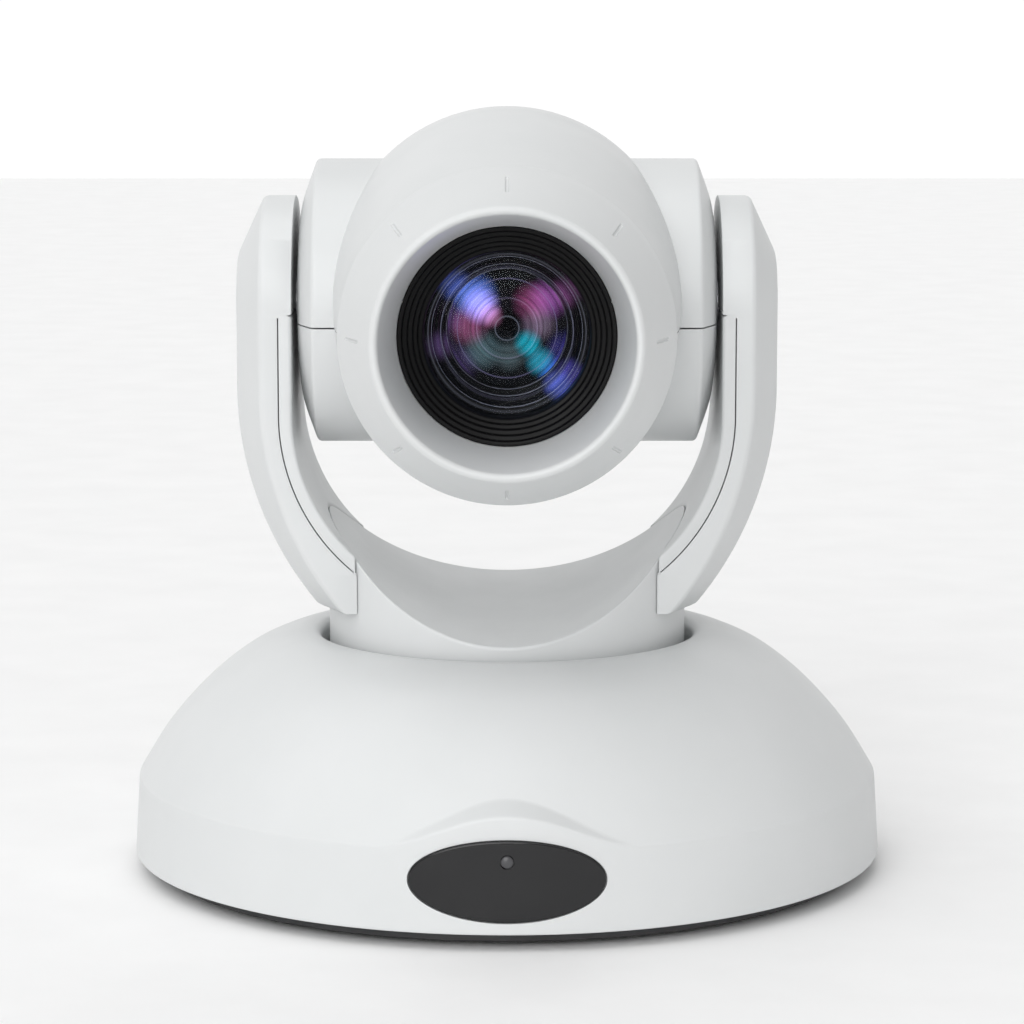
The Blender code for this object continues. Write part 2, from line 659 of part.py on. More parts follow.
def make_pan_pinion(look, parent):
    """The pinion and its shaft, in the frame of the pinion's axis."""
    pitch_turn = pi / 2 + pi / PAN_PINION_TEETH
    outline = gear_outline(PAN_PINION_TEETH, PAN_MODULE, pitch_turn)
    pinion = extruded("pan_pinion", outline, PAN_GEAR_Z - PINION_LAP,
                      PAN_GEAR_Z + PAN_GEAR_T + PINION_LAP, "Z")
    join(pinion, rod("shaft", PAN_SHAFT_R, CHASSIS_Z - SHAFT_DEPTH + MM, PAN_GEAR_Z, segments=12))
    return finish(pinion, look, parent)


# ---------------------------------------------------------------- yoke

def outer_arm_x(z):
    """Distance of the arm's outer face from the pan axis."""
    if z >= OUTER_ARC_Z:
        return ARM_OUTER
    return ARM_OUTER - OUTER_ARC_R + sqrt(OUTER_ARC_R ** 2 - (OUTER_ARC_Z - z) ** 2)


def channel(name, grow=0.0, top=ABOVE_ARMS):
    """The room between the arms, from the saddle up. It is deeper at the front."""
    sections = []
    side_angle = asin((INNER_ARC_Z - SADDLE_SIDE_Z) / INNER_ARC_R)
    for y in (-TURNTABLE_R * 1.7, TURNTABLE_R * 1.7):
        mid = SADDLE_MID_Z + SADDLE_SLOPE * y
        drop = SADDLE_SIDE_Z - mid
        radius = (SADDLE_HALF ** 2 + drop ** 2) / (2 * drop)
        half = asin(SADDLE_HALF / radius)
        bottom = []
        for i in range(9):
            a = -half + 2 * half * i / 8
            bottom.append(((radius + grow) * sin(a), mid + radius - (radius + grow) * cos(a)))
        side = []
        for i in range(1, 8):
            a = side_angle * (1 - i / 7)
            reach = INNER_ARC_R + grow
            side.append((INNER_ARC_X + reach * cos(a), INNER_ARC_Z - reach * sin(a)))
        right = side + [(ARM_INNER + grow, top)]
        left = [(-x, z) for x, z in reversed(right)]
        sections.append([(x, y, z) for x, z in left + bottom + right])
    return lofted(name, sections)


def arm_body(name, side, inset=0.0):
    """An arm's outside: a strip with wide chamfers that ends in a half circle about the tilt axis."""
    reach = ARM_HALF - inset
    flat = ARM_HALF - ARM_CHAMFER_W
    low = ARM_LEDGE + inset
    levels = [low + (OUTER_ARC_Z - low) * i / 6 for i in range(7)] + [TILT_Z]
    levels += [TILT_Z + reach * sin(radians(a)) for a in (15, 30, 45, 60, 75, 86)]
    sections = []
    for z in levels:
        rise = max(z - TILT_Z, 0)
        half = sqrt(reach ** 2 - rise ** 2)
        level = max(sqrt(max(flat ** 2 - rise ** 2, 0)), half / 4)
        outer = outer_arm_x(z) - inset
        edge = outer - ARM_CHAMFER * reach / ARM_HALF
        face = outer - ARM_CHAMFER * max(hypot(level, rise) - flat, 0) / ARM_CHAMFER_W
        inner = ARM_INNER / 2
        row = [(inner, -half), (edge, -half), (face, -level), (face, level), (edge, half), (inner, half)]
        sections.append([(side * x, y, z) for x, y in row])
    return lofted(name, sections)


def mirrored(source, name):
    """The same piece for the other side."""
    bm = bmesh.new()
    bm.from_mesh(source.data)
    bm.transform(Matrix.Diagonal((-1, 1, 1, 1)))
    bmesh.ops.reverse_faces(bm, faces=bm.faces)
    return finish(to_object(name, bm), source.data.materials[0], source.parent)


def make_arms(look, parent):
    side = -1
    shell = arm_body("left_arm_shell", side)
    cut(shell, rod("turntable_room", TURNTABLE_R + GAP, 0, ABOVE_ARMS, segments=48), channel("channel"))
    cover = bpy.data.objects.new("left_arm_cover", shell.data.copy())
    bpy.context.scene.collection.objects.link(cover)

    common(cover, channel("cover_band", COVER_T, COVER_TOP))
    cut(cover, rod("stub_hole", STUB_FLANGE_R + GAP, -ARM_OUTER, 0, "X", (0, TILT_Z), 20))
    finish(cover, look, parent)

    room = arm_body("arm_room", side, ARM_WALL)
    wall = (-ARM_INNER - ARM_WALL, -2 * ARM_HALF, COVER_TOP + GAP)
    cut(room, block("inner_wall", wall, (0, 2 * ARM_HALF, ABOVE_ARMS)))
    cut(shell, channel("cover_room", COVER_T + GAP, COVER_TOP + GAP), room)
    cut(shell, rod("stub_hole", STUB_R + 2 * GAP, -ARM_INNER - 2 * ARM_WALL, -DRUM_HALF,
                   "X", (0, TILT_Z), 32))
    finish(shell, look, parent)
    mirrored(shell, "right_arm_shell")
    mirrored(cover, "right_arm_cover")


def make_cradle(look, parent):
    top = SADDLE_SIDE_Z + 20 * MM
    bottom = TURNTABLE_BOTTOM
    outline = [(0, bottom), (TURNTABLE_R - 2 * MM, bottom), (TURNTABLE_R, bottom + MM),
               (TURNTABLE_R, top), (0, top)]
    cradle = turned("yoke_cradle", outline, segments=40)
    cut(cradle, channel("channel"))
    room = rod("cradle_room", TURNTABLE_R - TURNTABLE_WALL, TURNTABLE_BOTTOM + TURNTABLE_WALL, top,
               segments=28)
    cut(room, channel("floor", TURNTABLE_WALL))
    cut(cradle, room)
    cut(cradle, rod("spindle_hole", SPINDLE_R + GAP, 0, 0.06, segments=32))
    for side in (-1, 1):
        low, high = sorted((side * (FRAME_X - FRAME_T / 2 - 2 * GAP), side * ARM_OUTER))
        half = FRAME_HALF + GAP
        cut(cradle, block("frame_way", (low, -half, ARM_LEDGE + MM), (high, half, ABOVE_ARMS)))
    return finish(cradle, look, parent)


def clip_groove():
    """Height of the spindle's groove, under the chassis's hub."""
    return CHASSIS_Z - 4.8 * MM


def make_spindle(look, parent):
    flange = TURNTABLE_BOTTOM - GAP
    gear_top = PAN_GEAR_Z + PAN_GEAR_T + GAP
    top = TURNTABLE_BOTTOM + TURNTABLE_WALL
    neck = SPINDLE_R - CLIP_SINK
    groove = clip_groove()
    groove_top = groove + CLIP_T + 0.4 * MM
    outline = [(SPINDLE_BORE, SPINDLE_BOTTOM), (SPINDLE_R, SPINDLE_BOTTOM), (SPINDLE_R, groove), (neck, groove),
               (neck, groove_top), (SPINDLE_R, groove_top), (SPINDLE_R, gear_top), (SPINDLE_FLANGE_R, gear_top),
               (SPINDLE_FLANGE_R, flange), (SPINDLE_R, flange), (SPINDLE_R, top), (SPINDLE_BORE, top)]
    finish(turned("pan_spindle", outline, segments=20), look, parent)
    start = groove + 0.2 * MM
    clip = ring("retaining_ring", neck + GAP, SPINDLE_R + 2 * MM, start, start + CLIP_T, segments=24)
    finish(clip, look, parent)


def make_pan_gear(look, parent):
    outline = gear_outline(PAN_TEETH, PAN_MODULE, -pi / 2)
    gear = extruded("pan_gear", outline, PAN_GEAR_Z, PAN_GEAR_Z + PAN_GEAR_T, "Z")
    cut(gear, rod("bore", SPINDLE_R + GAP, 0, 0.1, segments=24))
    return finish(gear, look, parent)


def frame_path():
    """Half of the frame's middle line, from the pan axis out and up to the tilt axis."""
    radius = INNER_ARC_R + COVER_T + GAP + FRAME_T
    foot_angle = acos((FRAME_X + 2.5 * MM - INNER_ARC_X) / radius)
    curve = []
    for i in range(6):
        a = foot_angle * (1 - i / 5)
        curve.append((INNER_ARC_X + radius * cos(a), INNER_ARC_Z - radius * sin(a)))
    foot = (FRAME_X, curve[0][1] - 4 * MM)
    corner = [(FRAME_X - FRAME_BEND * (1 - sin(a)), FRAME_FLOOR + FRAME_BEND * (1 - cos(a)))
              for a in (0, pi / 6, pi / 3, pi / 2)]
    return [(0, FRAME_FLOOR)] + corner + [foot] + curve + [(INNER_ARC_X + radius, TILT_Z)]


def strip(path, thickness):
    """A closed outline of even thickness around an open path."""
    left, right = [], []
    for i, (x, z) in enumerate(path):
        before = path[max(i - 1, 0)]
        after = path[min(i + 1, len(path) - 1)]
        dx, dz = after[0] - before[0], after[1] - before[1]
        length = hypot(dx, dz)
        nx, nz = -dz / length * thickness / 2, dx / length * thickness / 2
        left.append((x + nx, z + nz))
        right.append((x - nx, z - nz))
    return left + right[::-1]


def frame_x():
    return ARM_INNER + COVER_T + GAP + FRAME_T


def make_yoke_frame(look, parent):
    half = frame_path()
    path = [(-x, z) for x, z in half[:0:-1]] + half
    frame = extruded("yoke_frame", strip(path, FRAME_T), -FRAME_HALF, FRAME_HALF)
    for side in (-1, 1):
        a, b = sorted((side * (frame_x() - FRAME_T / 2), side * (frame_x() + FRAME_T / 2)))
        join(frame, rod("eye", FRAME_EYE_R, a, b, "X", (0, TILT_Z), 24))
        cut(frame, rod("eye_hole", STUB_BORE, min(a, b) - MM, max(a, b) + MM, "X", (0, TILT_Z), 16))
    cut(frame, rod("spindle_hole", SPINDLE_R + GAP, FRAME_FLOOR - FRAME_T, FRAME_FLOOR + FRAME_T,
                   segments=24))
    return finish(frame, look, parent)


def make_tilt_stub(side, prefix, look, parent):
    seat = frame_x() - FRAME_T / 2 - GAP
    flange = ARM_INNER + ARM_WALL + GAP
    inner = TILT_GEAR_X - MM
    half = [(STUB_BORE, inner), (STUB_R, inner), (STUB_R, flange), (STUB_FLANGE_R, flange),
            (STUB_FLANGE_R, seat), (STUB_BORE, seat)]
    outline = [(r, side * x) for r, x in half]
    finish(turned(f"{prefix}_tilt_stub", outline, "X", (0, 0, TILT_Z), 20), look, parent)


def make_tilt_gear(look, parent):
    outline = [(y, TILT_Z + z) for y, z in gear_outline(TILT_TEETH, TILT_MODULE, TILT_MOTOR_ANGLE)]
    gear = extruded("tilt_gear", outline, TILT_GEAR_X, TILT_GEAR_X + TILT_GEAR_T, "X")
    cut(gear, rod("bore", STUB_R + GAP, 0, 0.1, "X", (0, TILT_Z), 32))
    return finish(gear, look, parent)


def tilt_centres():
    distance = (TILT_TEETH + TILT_PINION_TEETH) * TILT_MODULE / 2 + MESH_PLAY
    return distance * cos(TILT_MOTOR_ANGLE), distance * sin(TILT_MOTOR_ANGLE)


# ---------------------------------------------------------------- head (heights from the tilt axis)

def barrel(name, inset=0.0, segments=36):
    """The housing, or its room when inset by a wall."""
    sections = []
    flat = 30 * MM
    for y, z, r in BARREL:
        if y > flat:
            y -= inset * (y - flat) / (BARREL_BACK - flat)
        if inset and y == HEAD_FRONT:
            y -= MM
        angles = [2 * pi * i / segments for i in range(segments)]
        sections.append([((r - inset) * cos(a), y, z + (r - inset) * sin(a)) for a in angles])
    return lofted(name, sections)


def drum(name, inset=0.0, segments=36):
    """The drum between the arms, with domed ends, or its room when inset by a wall."""
    cap = [(DRUM_R, DRUM_HALF), (DRUM_R - 5.6 * MM, DRUM_HALF + 0.45 * DRUM_DOMING),
           (DRUM_R - 10.6 * MM, DRUM_HALF + 0.81 * DRUM_DOMING), (DRUM_R - 17.1 * MM, DRUM_CAP), (0, DRUM_CAP)]
    side = [(max(r - inset, 0), x - inset) for r, x in cap]
    outline = [(r, -x) for r, x in reversed(side)] + side
    return turned(name, outline, "X", segments=segments)


def column_places():
    return [(-COLUMN_X, COLUMN_FRONT_Y), (COLUMN_X, COLUMN_FRONT_Y), (0, COLUMN_BACK_Y)]


def make_head_shells(looks, parent):
    body = join(barrel("head_upper_shell"), drum("drum"))
    room = join(barrel("head_room", HEAD_WALL, 24), drum("drum_room", HEAD_WALL, 24))
    below, above = -2 * DRUM_R, 2 * DRUM_R
    for x, y in column_places():
        cut(room, rod("column", COLUMN_R, below, above, centre=(x, y), segments=10))
    cut(body, room)
    for side in (-1, 1):
        a, b = sorted((side * (DRUM_CAP - 2 * HEAD_WALL - TILT_BEARING_T), side * ARM_INNER))
        cut(body, rod("bearing_hole", TILT_BEARING_R + GAP, a, b, "X", (0, 0), 24))
    hole_top = HEAD_SCREW_SEAT + HEAD_SCREW_L + 2 * MM
    for x, y in column_places():
        start = HEAD_SCREW_SEAT - MM
        cut(body, rod("screw_hole", HEAD_SCREW_R + GAP, start, hole_top, centre=(x, y), segments=8))
        cut(body, rod("screw_way", HEAD_SCREW_HEAD + GAP, below, HEAD_SCREW_SEAT, centre=(x, y), segments=10))
    lower = bpy.data.objects.new("head_lower_shell", body.data.copy())
    bpy.context.scene.collection.objects.link(lower)
    cut(body, block("below", (-0.2, -0.2, -0.2), (0.2, 0.2, HEAD_SEAM + GAP / 2)))
    cut(lower, block("above", (-0.2, -0.2, HEAD_SEAM - GAP / 2), (0.2, 0.2, 0.2)))
    finish(body, looks["white"], parent)
    finish(lower, looks["white"], parent)
    for number, (x, y) in enumerate(column_places(), 1):
        low = HEAD_SCREW_SEAT - 2 * MM
        seat = HEAD_SCREW_SEAT - GAP
        outline = [(0, low), (HEAD_SCREW_HEAD, low), (HEAD_SCREW_HEAD, seat), (HEAD_SCREW_R, seat),
                   (HEAD_SCREW_R, seat + HEAD_SCREW_L), (0, seat + HEAD_SCREW_L)]
        finish(turned(f"head_screw_{number}", outline, centre=(x, y, 0), segments=8), looks["steel"], parent)


def make_bezel(look, parent):
    spigot = BARREL_MOUTH_R - HEAD_WALL - 4 * GAP
    outline = [(spigot - 2 * MM, HEAD_FRONT + 5 * MM), (spigot, HEAD_FRONT + 5 * MM),
               (spigot, HEAD_FRONT - GAP), (BEZEL_R - BEZEL_EDGE, HEAD_FRONT - GAP),
               (BEZEL_R, HEAD_FRONT - 1.2 * MM), (BEZEL_R, BEZEL_BACK),
               (BEZEL_R - BEZEL_EDGE, BEZEL_BACK - 2.2 * MM), (HOOD_R + 1.2 * MM, BEZEL_FRONT + 0.8 * MM),
               (HOOD_R + 0.2 * MM, BEZEL_FRONT), (HOOD_R - 0.8 * MM, BEZEL_FRONT + 0.5 * MM),
               (HOOD_INNER_R, HOOD_INNER_Y), (HOOD_INNER_R, HOOD_INNER_Y + 3 * MM),
               (spigot - 2 * MM, HOOD_INNER_Y + 5 * MM)]
    bezel = turned("front_bezel", outline, "Y", (0, 0, -LENS_DROP), 32)
    return finish(bezel, look, parent)


def make_lens_barrel(look, parent):
    lip = HOOD_INNER_R - GAP
    front = HOOD_INNER_Y
    outline = [(CELL_R, CELL_END), (CELL_R, TUBE_END), (TUBE_R, TUBE_END), (TUBE_R, front + 4 * MM),
               (lip, front + 3.4 * MM), (lip, front + 0.4 * MM), (GLASS_R + 4.1 * MM, front + 0.8 * MM),
               (GLASS_R + 3.7 * MM, front + 2.6 * MM), (GLASS_R + 2.3 * MM, front + 3.0 * MM),
               (GLASS_R + 1.9 * MM, front + 4.6 * MM), (GLASS_R + GAP, front + 5.0 * MM),
               (GLASS_R + GAP, GLASS_Y + 5.5 * MM), (WIDE_BORE, GLASS_Y + 5.5 * MM), (WIDE_BORE, WIDE_BORE_END),
               (BORE, WIDE_BORE_END), (BORE, CELL_END)]
    tube = turned("lens_barrel", outline, "Y", (0, 0, -LENS_DROP), 24)
    return finish(tube, look, parent)


def lens(name, radius, middle, edge, bulge, parent, look, height=-LENS_DROP, segments=24):
    """A biconvex glass whose rim is edge thick, centred at middle along Y."""
    curve = []
    steps = 3
    for i in range(steps + 1):
        r = radius * i / steps
        curve.append((r, -edge / 2 - bulge * (1 - (r / radius) ** 2)))
    outline = curve + [(r, -y) for r, y in reversed(curve)]
    made = turned(name, outline, "Y", (0, middle, height), segments)
    return finish(made, look, parent)


def make_guide_rods(look, parent):
    for side, name in ((-1, "left_guide_rod"), (1, "right_guide_rod")):
        made = rod(name, ROD_R, WIDE_BORE_END + 0.5 * MM, CELL_END - MM, "Y", (side * ROD_X, -LENS_DROP), 8)
        finish(made, look, parent)


def carrier(name, start, depth, hole, look, parent, height):
    made = ring(name, hole, BORE - GAP, start, start + depth, "Y", (0, height), 20)
    for side in (-1, 1):
        cut(made, rod("rod_way", ROD_R + GAP, start - MM, start + depth + MM, "Y", (side * ROD_X, height), 8))
    return finish(made, look, parent)


def make_camera_bracket(look, parent):
    floor = -CELL_R - 3 * MM
    inside = BRACKET_HALF - BRACKET_T
    right = [(BRACKET_HALF, floor), (BRACKET_HALF, BRACKET_TOP),
             (inside, BRACKET_TOP), (inside, floor + BRACKET_T)]
    outline = right + [(-x, z) for x, z in reversed(right)]
    outline = [(x, z - LENS_DROP) for x, z in outline]
    bracket = extruded("camera_bracket", outline, TUBE_END + 6 * MM, CELL_END + 8 * MM)
    return finish(bracket, look, parent)


def make_sensor(looks, parent):
    z = -LENS_DROP
    wide, high = SENSOR_HALF
    end = CELL_END + SENSOR_T
    sensor = block("image_sensor", (-wide, CELL_END + GAP, z - high), (wide, end, z + high))
    finish(sensor, looks["black"], parent)
    wide, high = SENSOR_BOARD_HALF
    board = block("sensor_board", (-wide, end + GAP, z + MM - high),
                  (wide, end + GAP + BOARD_T, z + MM + high))
    finish(board, looks["board"], parent)


def make_tilt_drive(looks, parent, pinion_pivot):
    y, z = tilt_centres()
    end = TILT_GEAR_X - 1.5 * MM
    motor = rod("tilt_motor", TILT_MOTOR_R, end - TILT_MOTOR_L, end, "X", (y, z), 24)
    cut(motor, rod("shaft_bore", TILT_SHAFT_R + GAP, end - SHAFT_DEPTH, end + MM, "X", (y, z), 8))
    finish(motor, looks["steel"], parent)
    outline = gear_outline(TILT_PINION_TEETH, TILT_MODULE, TILT_MOTOR_ANGLE + pi + pi / TILT_PINION_TEETH)
    start = TILT_GEAR_X - PINION_LAP
    pinion = extruded("tilt_pinion", outline, start, start + TILT_GEAR_T + 2 * PINION_LAP, "X")
    join(pinion, rod("shaft", TILT_SHAFT_R, end - SHAFT_DEPTH + MM, TILT_GEAR_X + MM, "X", (0, 0), 8))
    finish(pinion, looks["brass"], pinion_pivot)
    for side, prefix in ((-1, "left"), (1, "right")):
        outer = DRUM_CAP - 0.4 * MM
        a, b = sorted((side * (outer - TILT_BEARING_T), side * outer))
        bearing = ring(f"{prefix}_tilt_bearing", STUB_R + GAP, TILT_BEARING_R, a, b, "X")
        finish(bearing, looks["steel"], parent)


# ---------------------------------------------------------------- assembly

def main():
    clear_scene()
    looks = {
        "white": material("white_plastic", WHITE, 0.42),
        "black": material("black_plastic", BLACK, 0.45),
        "gloss": material("gloss_black", BLACK, 0.08),
        "plate": material("black_steel", (0.03, 0.03, 0.032), 0.5, 0.3),
        "rubber": material("rubber", (0.02, 0.02, 0.02), 0.85),
        "lamp": material("lamp_lens", (0.75, 0.8, 0.85), 0.3),
        "steel": material("steel", STEEL, 0.35, 1.0),
        "cast": material("cast_metal", (0.42, 0.43, 0.44), 0.5, 1.0),
        "brass": material("brass", (0.7, 0.52, 0.22), 0.35, 1.0),
        "board": material("circuit_board", (0.02, 0.16, 0.07), 0.5),
        "nylon": material("nylon", (0.75, 0.74, 0.7), 0.5),
        "glass": material("lens_glass", (0.85, 0.88, 0.95), 0.02, 0.0, 1.0),
    }
    pan_y = (BASE_R - BASE_BACK) / 2
    base = pivot("base_centre", None, (0, pan_y, 0))
    yoke = pivot("pan_axis", base, (0, 0, 0))
    head = pivot("tilt_axis", yoke, (0, 0, TILT_Z))
    pan_pinion_axis = pivot("pan_pinion_axis", base, (0, -pan_centres(), 0))
    inner, _ = panel_planes()
    knob_axis = pivot("switch_axis", base, (SWITCH_X, inner - GAP, SOCKET_Z))
    tilt_y, tilt_z = tilt_centres()
    tilt_pinion_axis = pivot("tilt_pinion_axis", head, (0, tilt_y, tilt_z))
    zoom = pivot("zoom_slide", head, (0, ZOOM_Y, -LENS_DROP))
    focus = pivot("focus_slide", head, (0, FOCUS_Y, -LENS_DROP))

    make_base_shell(looks["white"], base)
    make_front_window(looks["gloss"], base)
    make_status_lamp(looks["lamp"], base)
    make_bottom_plate(looks["plate"], base)
    make_base_hardware(looks, base)
    make_rear_panel(looks["black"], base)
    make_sockets(looks["black"], base)
    make_switch(looks, base, knob_axis)
    make_main_board(looks["board"], base)
    make_pan_chassis(looks["cast"], base)
    make_pan_bearing(looks["steel"], base)
    make_pan_motor(looks["steel"], base)
    make_pan_pinion(looks["brass"], pan_pinion_axis)

    make_cradle(looks["white"], yoke)
    make_spindle(looks["steel"], yoke)
    make_pan_gear(looks["nylon"], yoke)
    make_yoke_frame(looks["cast"], yoke)
    make_arms(looks["white"], yoke)
    for side, prefix in ((-1, "left"), (1, "right")):
        make_tilt_stub(side, prefix, looks["steel"], yoke)
    make_tilt_gear(looks["nylon"], yoke)

    make_head_shells(looks, head)
    make_bezel(looks["white"], head)
    make_lens_barrel(looks["black"], head)
    lens("front_lens", GLASS_R, GLASS_Y + 2 * MM, 2 * MM, 1.6 * MM, head, looks["glass"], segments=24)
    make_guide_rods(looks["steel"], head)
    carrier("iris_ring", IRIS_Y, IRIS_T, IRIS_HOLE, looks["black"], head, -LENS_DROP)
    make_camera_bracket(looks["cast"], head)
    make_sensor(looks, head)
    make_tilt_drive(looks, head, tilt_pinion_axis)

    carrier("zoom_carrier", 0, CARRIER_T, ZOOM_LENS_R + GAP, looks["black"], zoom, 0)
    lens("zoom_lens", ZOOM_LENS_R, CARRIER_T / 2, 1.4 * MM, 0.9 * MM, zoom, looks["glass"], 0, 16)
    carrier("focus_carrier", 0, CARRIER_T, FOCUS_LENS_R + GAP, looks["black"], focus, 0)
    lens("focus_lens", FOCUS_LENS_R, CARRIER_T / 2, 1.4 * MM, 0.9 * MM, focus, looks["glass"], 0, 16)


main()
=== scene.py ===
"""Looks for the conference PTZ camera: fine shells, optics, materials, studio light and camera."""
import json
from math import atan2, cos, degrees, hypot, pi, radians, sin, sqrt

import bmesh
import bpy
import numpy as np
from mathutils import Matrix, Vector


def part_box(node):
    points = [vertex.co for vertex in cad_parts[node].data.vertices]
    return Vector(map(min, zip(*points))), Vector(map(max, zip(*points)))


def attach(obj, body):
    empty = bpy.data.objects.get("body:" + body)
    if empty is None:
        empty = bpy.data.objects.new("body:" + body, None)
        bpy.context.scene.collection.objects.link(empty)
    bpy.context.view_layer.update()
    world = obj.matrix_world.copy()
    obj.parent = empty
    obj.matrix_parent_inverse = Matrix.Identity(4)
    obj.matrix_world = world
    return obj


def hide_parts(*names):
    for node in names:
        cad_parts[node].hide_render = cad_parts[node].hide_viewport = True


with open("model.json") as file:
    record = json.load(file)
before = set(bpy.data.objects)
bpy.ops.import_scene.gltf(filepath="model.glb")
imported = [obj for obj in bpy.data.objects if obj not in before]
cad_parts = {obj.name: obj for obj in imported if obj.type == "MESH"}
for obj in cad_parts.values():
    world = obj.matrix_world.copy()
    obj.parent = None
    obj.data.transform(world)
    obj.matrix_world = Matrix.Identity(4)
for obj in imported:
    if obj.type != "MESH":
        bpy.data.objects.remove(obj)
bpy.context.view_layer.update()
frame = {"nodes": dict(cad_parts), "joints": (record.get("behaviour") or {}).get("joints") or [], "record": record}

MM = 0.001
JOINTS = {joint["name"]: joint for joint in frame["joints"]}
PAN_Y = JOINTS["pan"]["pos_m"][1] / MM
TILT_Z = JOINTS["tilt"]["pos_m"][2] / MM

# Base, in millimetres about the pan axis
BASE_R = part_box("base_shell")[1].x / MM
BASE_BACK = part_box("base_shell")[1].y / MM - PAN_Y
BASE_WALL = 3.0
BELT_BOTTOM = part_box("base_shell")[0].z / MM
BELT_TOP = 24.4
BELT_DRAFT = 1.2
RIM_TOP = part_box("base_shell")[1].z / MM
RIM_R = 49.3
PAD_RISE = 8.6
PAD_HALF = 34.0
WINDOW_Z = 17.3
WINDOW_HALF_W = 24.0
WINDOW_HALF_H = 10.0
LAMP_Z = WINDOW_Z + 4.9

# Yoke
TURNTABLE_R = 47.2
TURNTABLE_BOTTOM = 50.0
CABLE_BORE = 8.3
ARM_LEDGE = 70.5
ARM_HALF = 27.5
ARM_OUTER = 70.4
ARM_INNER = 55.2
ARM_CHAMFER = 6.9
ARM_FLAT = 12.7
OUTER_ARC_R = 89.3
OUTER_ARC_Z = 128.0
INNER_ARC_R = 49.3
INNER_ARC_Z = 122.0
SADDLE_HALF = 41.0
SADDLE_SIDE_Z = 87.38
SADDLE_MID_Z = 67.88
SADDLE_SLOPE = 0.0534
COVER_T = 3.3
COVER_TOP = 147.8
SEAM = 0.3

# Head, from the tilt axis
LENS_DROP = 3.5
DRUM_R = 37.1
DRUM_HALF = 49.5
DRUM_CAP = 54.2
HEAD_WALL = 2.2
HEAD_SEAM = -4.3
BEZEL_R = 41.6
HOOD_R = 31.8
BEZEL_FRONT = -91.5
HOOD_INNER_R = 27.0
HOOD_INNER_Y = -69.5
NOTCH_COUNT = 8
GLASS_R = 20.3
GLASS_Y = -62.0


# ---------------------------------------------------------------- mesh helpers

def piece(name, vertices, faces, body, look, replaces=(), height=0.0, sharp=32):
    """A closed mesh from millimetres about the pan axis (height added), riding on a body."""
    mesh = bpy.data.meshes.new(name)
    moved = [((x) * MM, (y + PAN_Y) * MM, (z + height) * MM) for x, y, z in vertices]
    mesh.from_pydata(moved, [], faces)
    made = bpy.data.objects.new(name, mesh)
    bpy.context.scene.collection.objects.link(made)
    clean(made, sharp)
    if look:
        mesh.materials.append(look)
    if body:
        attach(made, body)
    if replaces:
        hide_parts(*replaces)
    return made


def clean(made, sharp=32):
    bm = bmesh.new()
    bm.from_mesh(made.data)
    bmesh.ops.remove_doubles(bm, verts=bm.verts, dist=1e-6)
    bmesh.ops.dissolve_degenerate(bm, dist=1e-7, edges=bm.edges)
    bmesh.ops.recalc_face_normals(bm, faces=bm.faces)
    bm.to_mesh(made.data)
    bm.free()
    made.data.shade_smooth()
    made.data.set_sharp_from_angle(angle=radians(sharp))


def grid_faces(rows, columns, wrap_rows=False, wrap_columns=False):
    faces = []
    for i in range(rows if wrap_rows else rows - 1):
        for j in range(columns if wrap_columns else columns - 1):
            a, b = i, (i + 1) % rows
            c, d = j, (j + 1) % columns
            faces.append((a * columns + c, a * columns + d, b * columns + d, b * columns + c))
    return faces


def turned(profile, axis="Z", segments=128, centre=(0, 0, 0)):
    """Vertices and faces of a profile of (radius, height) turned about an axis. Open ends lie on the axis."""
    vertices = []
    for k in range(segments):
        a = 2 * pi * k / segments
        for r, h in profile:
            point = {"Z": (r * sin(a), -r * cos(a), h), "Y": (r * sin(a), h, r * cos(a)),
                     "X": (h, r * sin(a), r * cos(a))}[axis]
            vertices.append(tuple(p + c for p, c in zip(point, centre)))
    closed = all(r > 0 for r, _ in profile)
    return vertices, grid_faces(segments, len(profile), True, closed)


def rounded(points, radii, steps=4, closed=False):
    """A polyline whose corners are rounded: radii gives the cut at each point, 0 for a sharp one."""
    out = []
    count = len(points)
    for i, (point, radius) in enumerate(zip(points, radii)):
        if not radius or (not closed and i in (0, count - 1)):
            out.append(point)
            continue
        p = Vector(point)
        before = Vector(points[i - 1])
        after = Vector(points[(i + 1) % count])
        a = p + (before - p).normalized() * min(radius, (before - p).length * 0.5)
        b = p + (after - p).normalized() * min(radius, (after - p).length * 0.5)
        for k in range(steps + 1):
            t = k / steps
            out.append(tuple((a * (1 - t) ** 2 + p * (2 * t * (1 - t)) + b * t * t)))
    return out


def smooth_through(points, steps):
    ends = [points[0]] + list(points) + [points[-1]]
    curve = []
    for a, b, c, d in zip(ends, ends[1:], ends[2:], ends[3:]):
        for i in range(steps):
            t = i / steps
            curve.append(tuple(
                0.5 * (2 * b[k] + (c[k] - a[k]) * t + (2 * a[k] - 5 * b[k] + 4 * c[k] - d[k]) * t * t
                       + (3 * b[k] - a[k] - 3 * c[k] + d[k]) * t ** 3) for k in range(len(b))))
    return curve + [tuple(points[-1])]


def boolean(target, tool, operation="DIFFERENCE"):
    step = target.modifiers.new("cut", "BOOLEAN")
    step.object = tool
    step.operation = operation
    step.solver = "EXACT"
    bpy.context.view_layer.update()
    result = bpy.data.meshes.new_from_object(target.evaluated_get(bpy.context.evaluated_depsgraph_get()))
    target.modifiers.clear()
    result.name = target.name
    target.data = result
    bm = bmesh.new()
    bm.from_mesh(result)
    bmesh.ops.remove_doubles(bm, verts=bm.verts, dist=2e-6)
    bmesh.ops.dissolve_degenerate(bm, dist=1e-6, edges=bm.edges)
    bm.to_mesh(result)
    bm.free()
    bpy.data.objects.remove(tool, do_unlink=True)
    return target


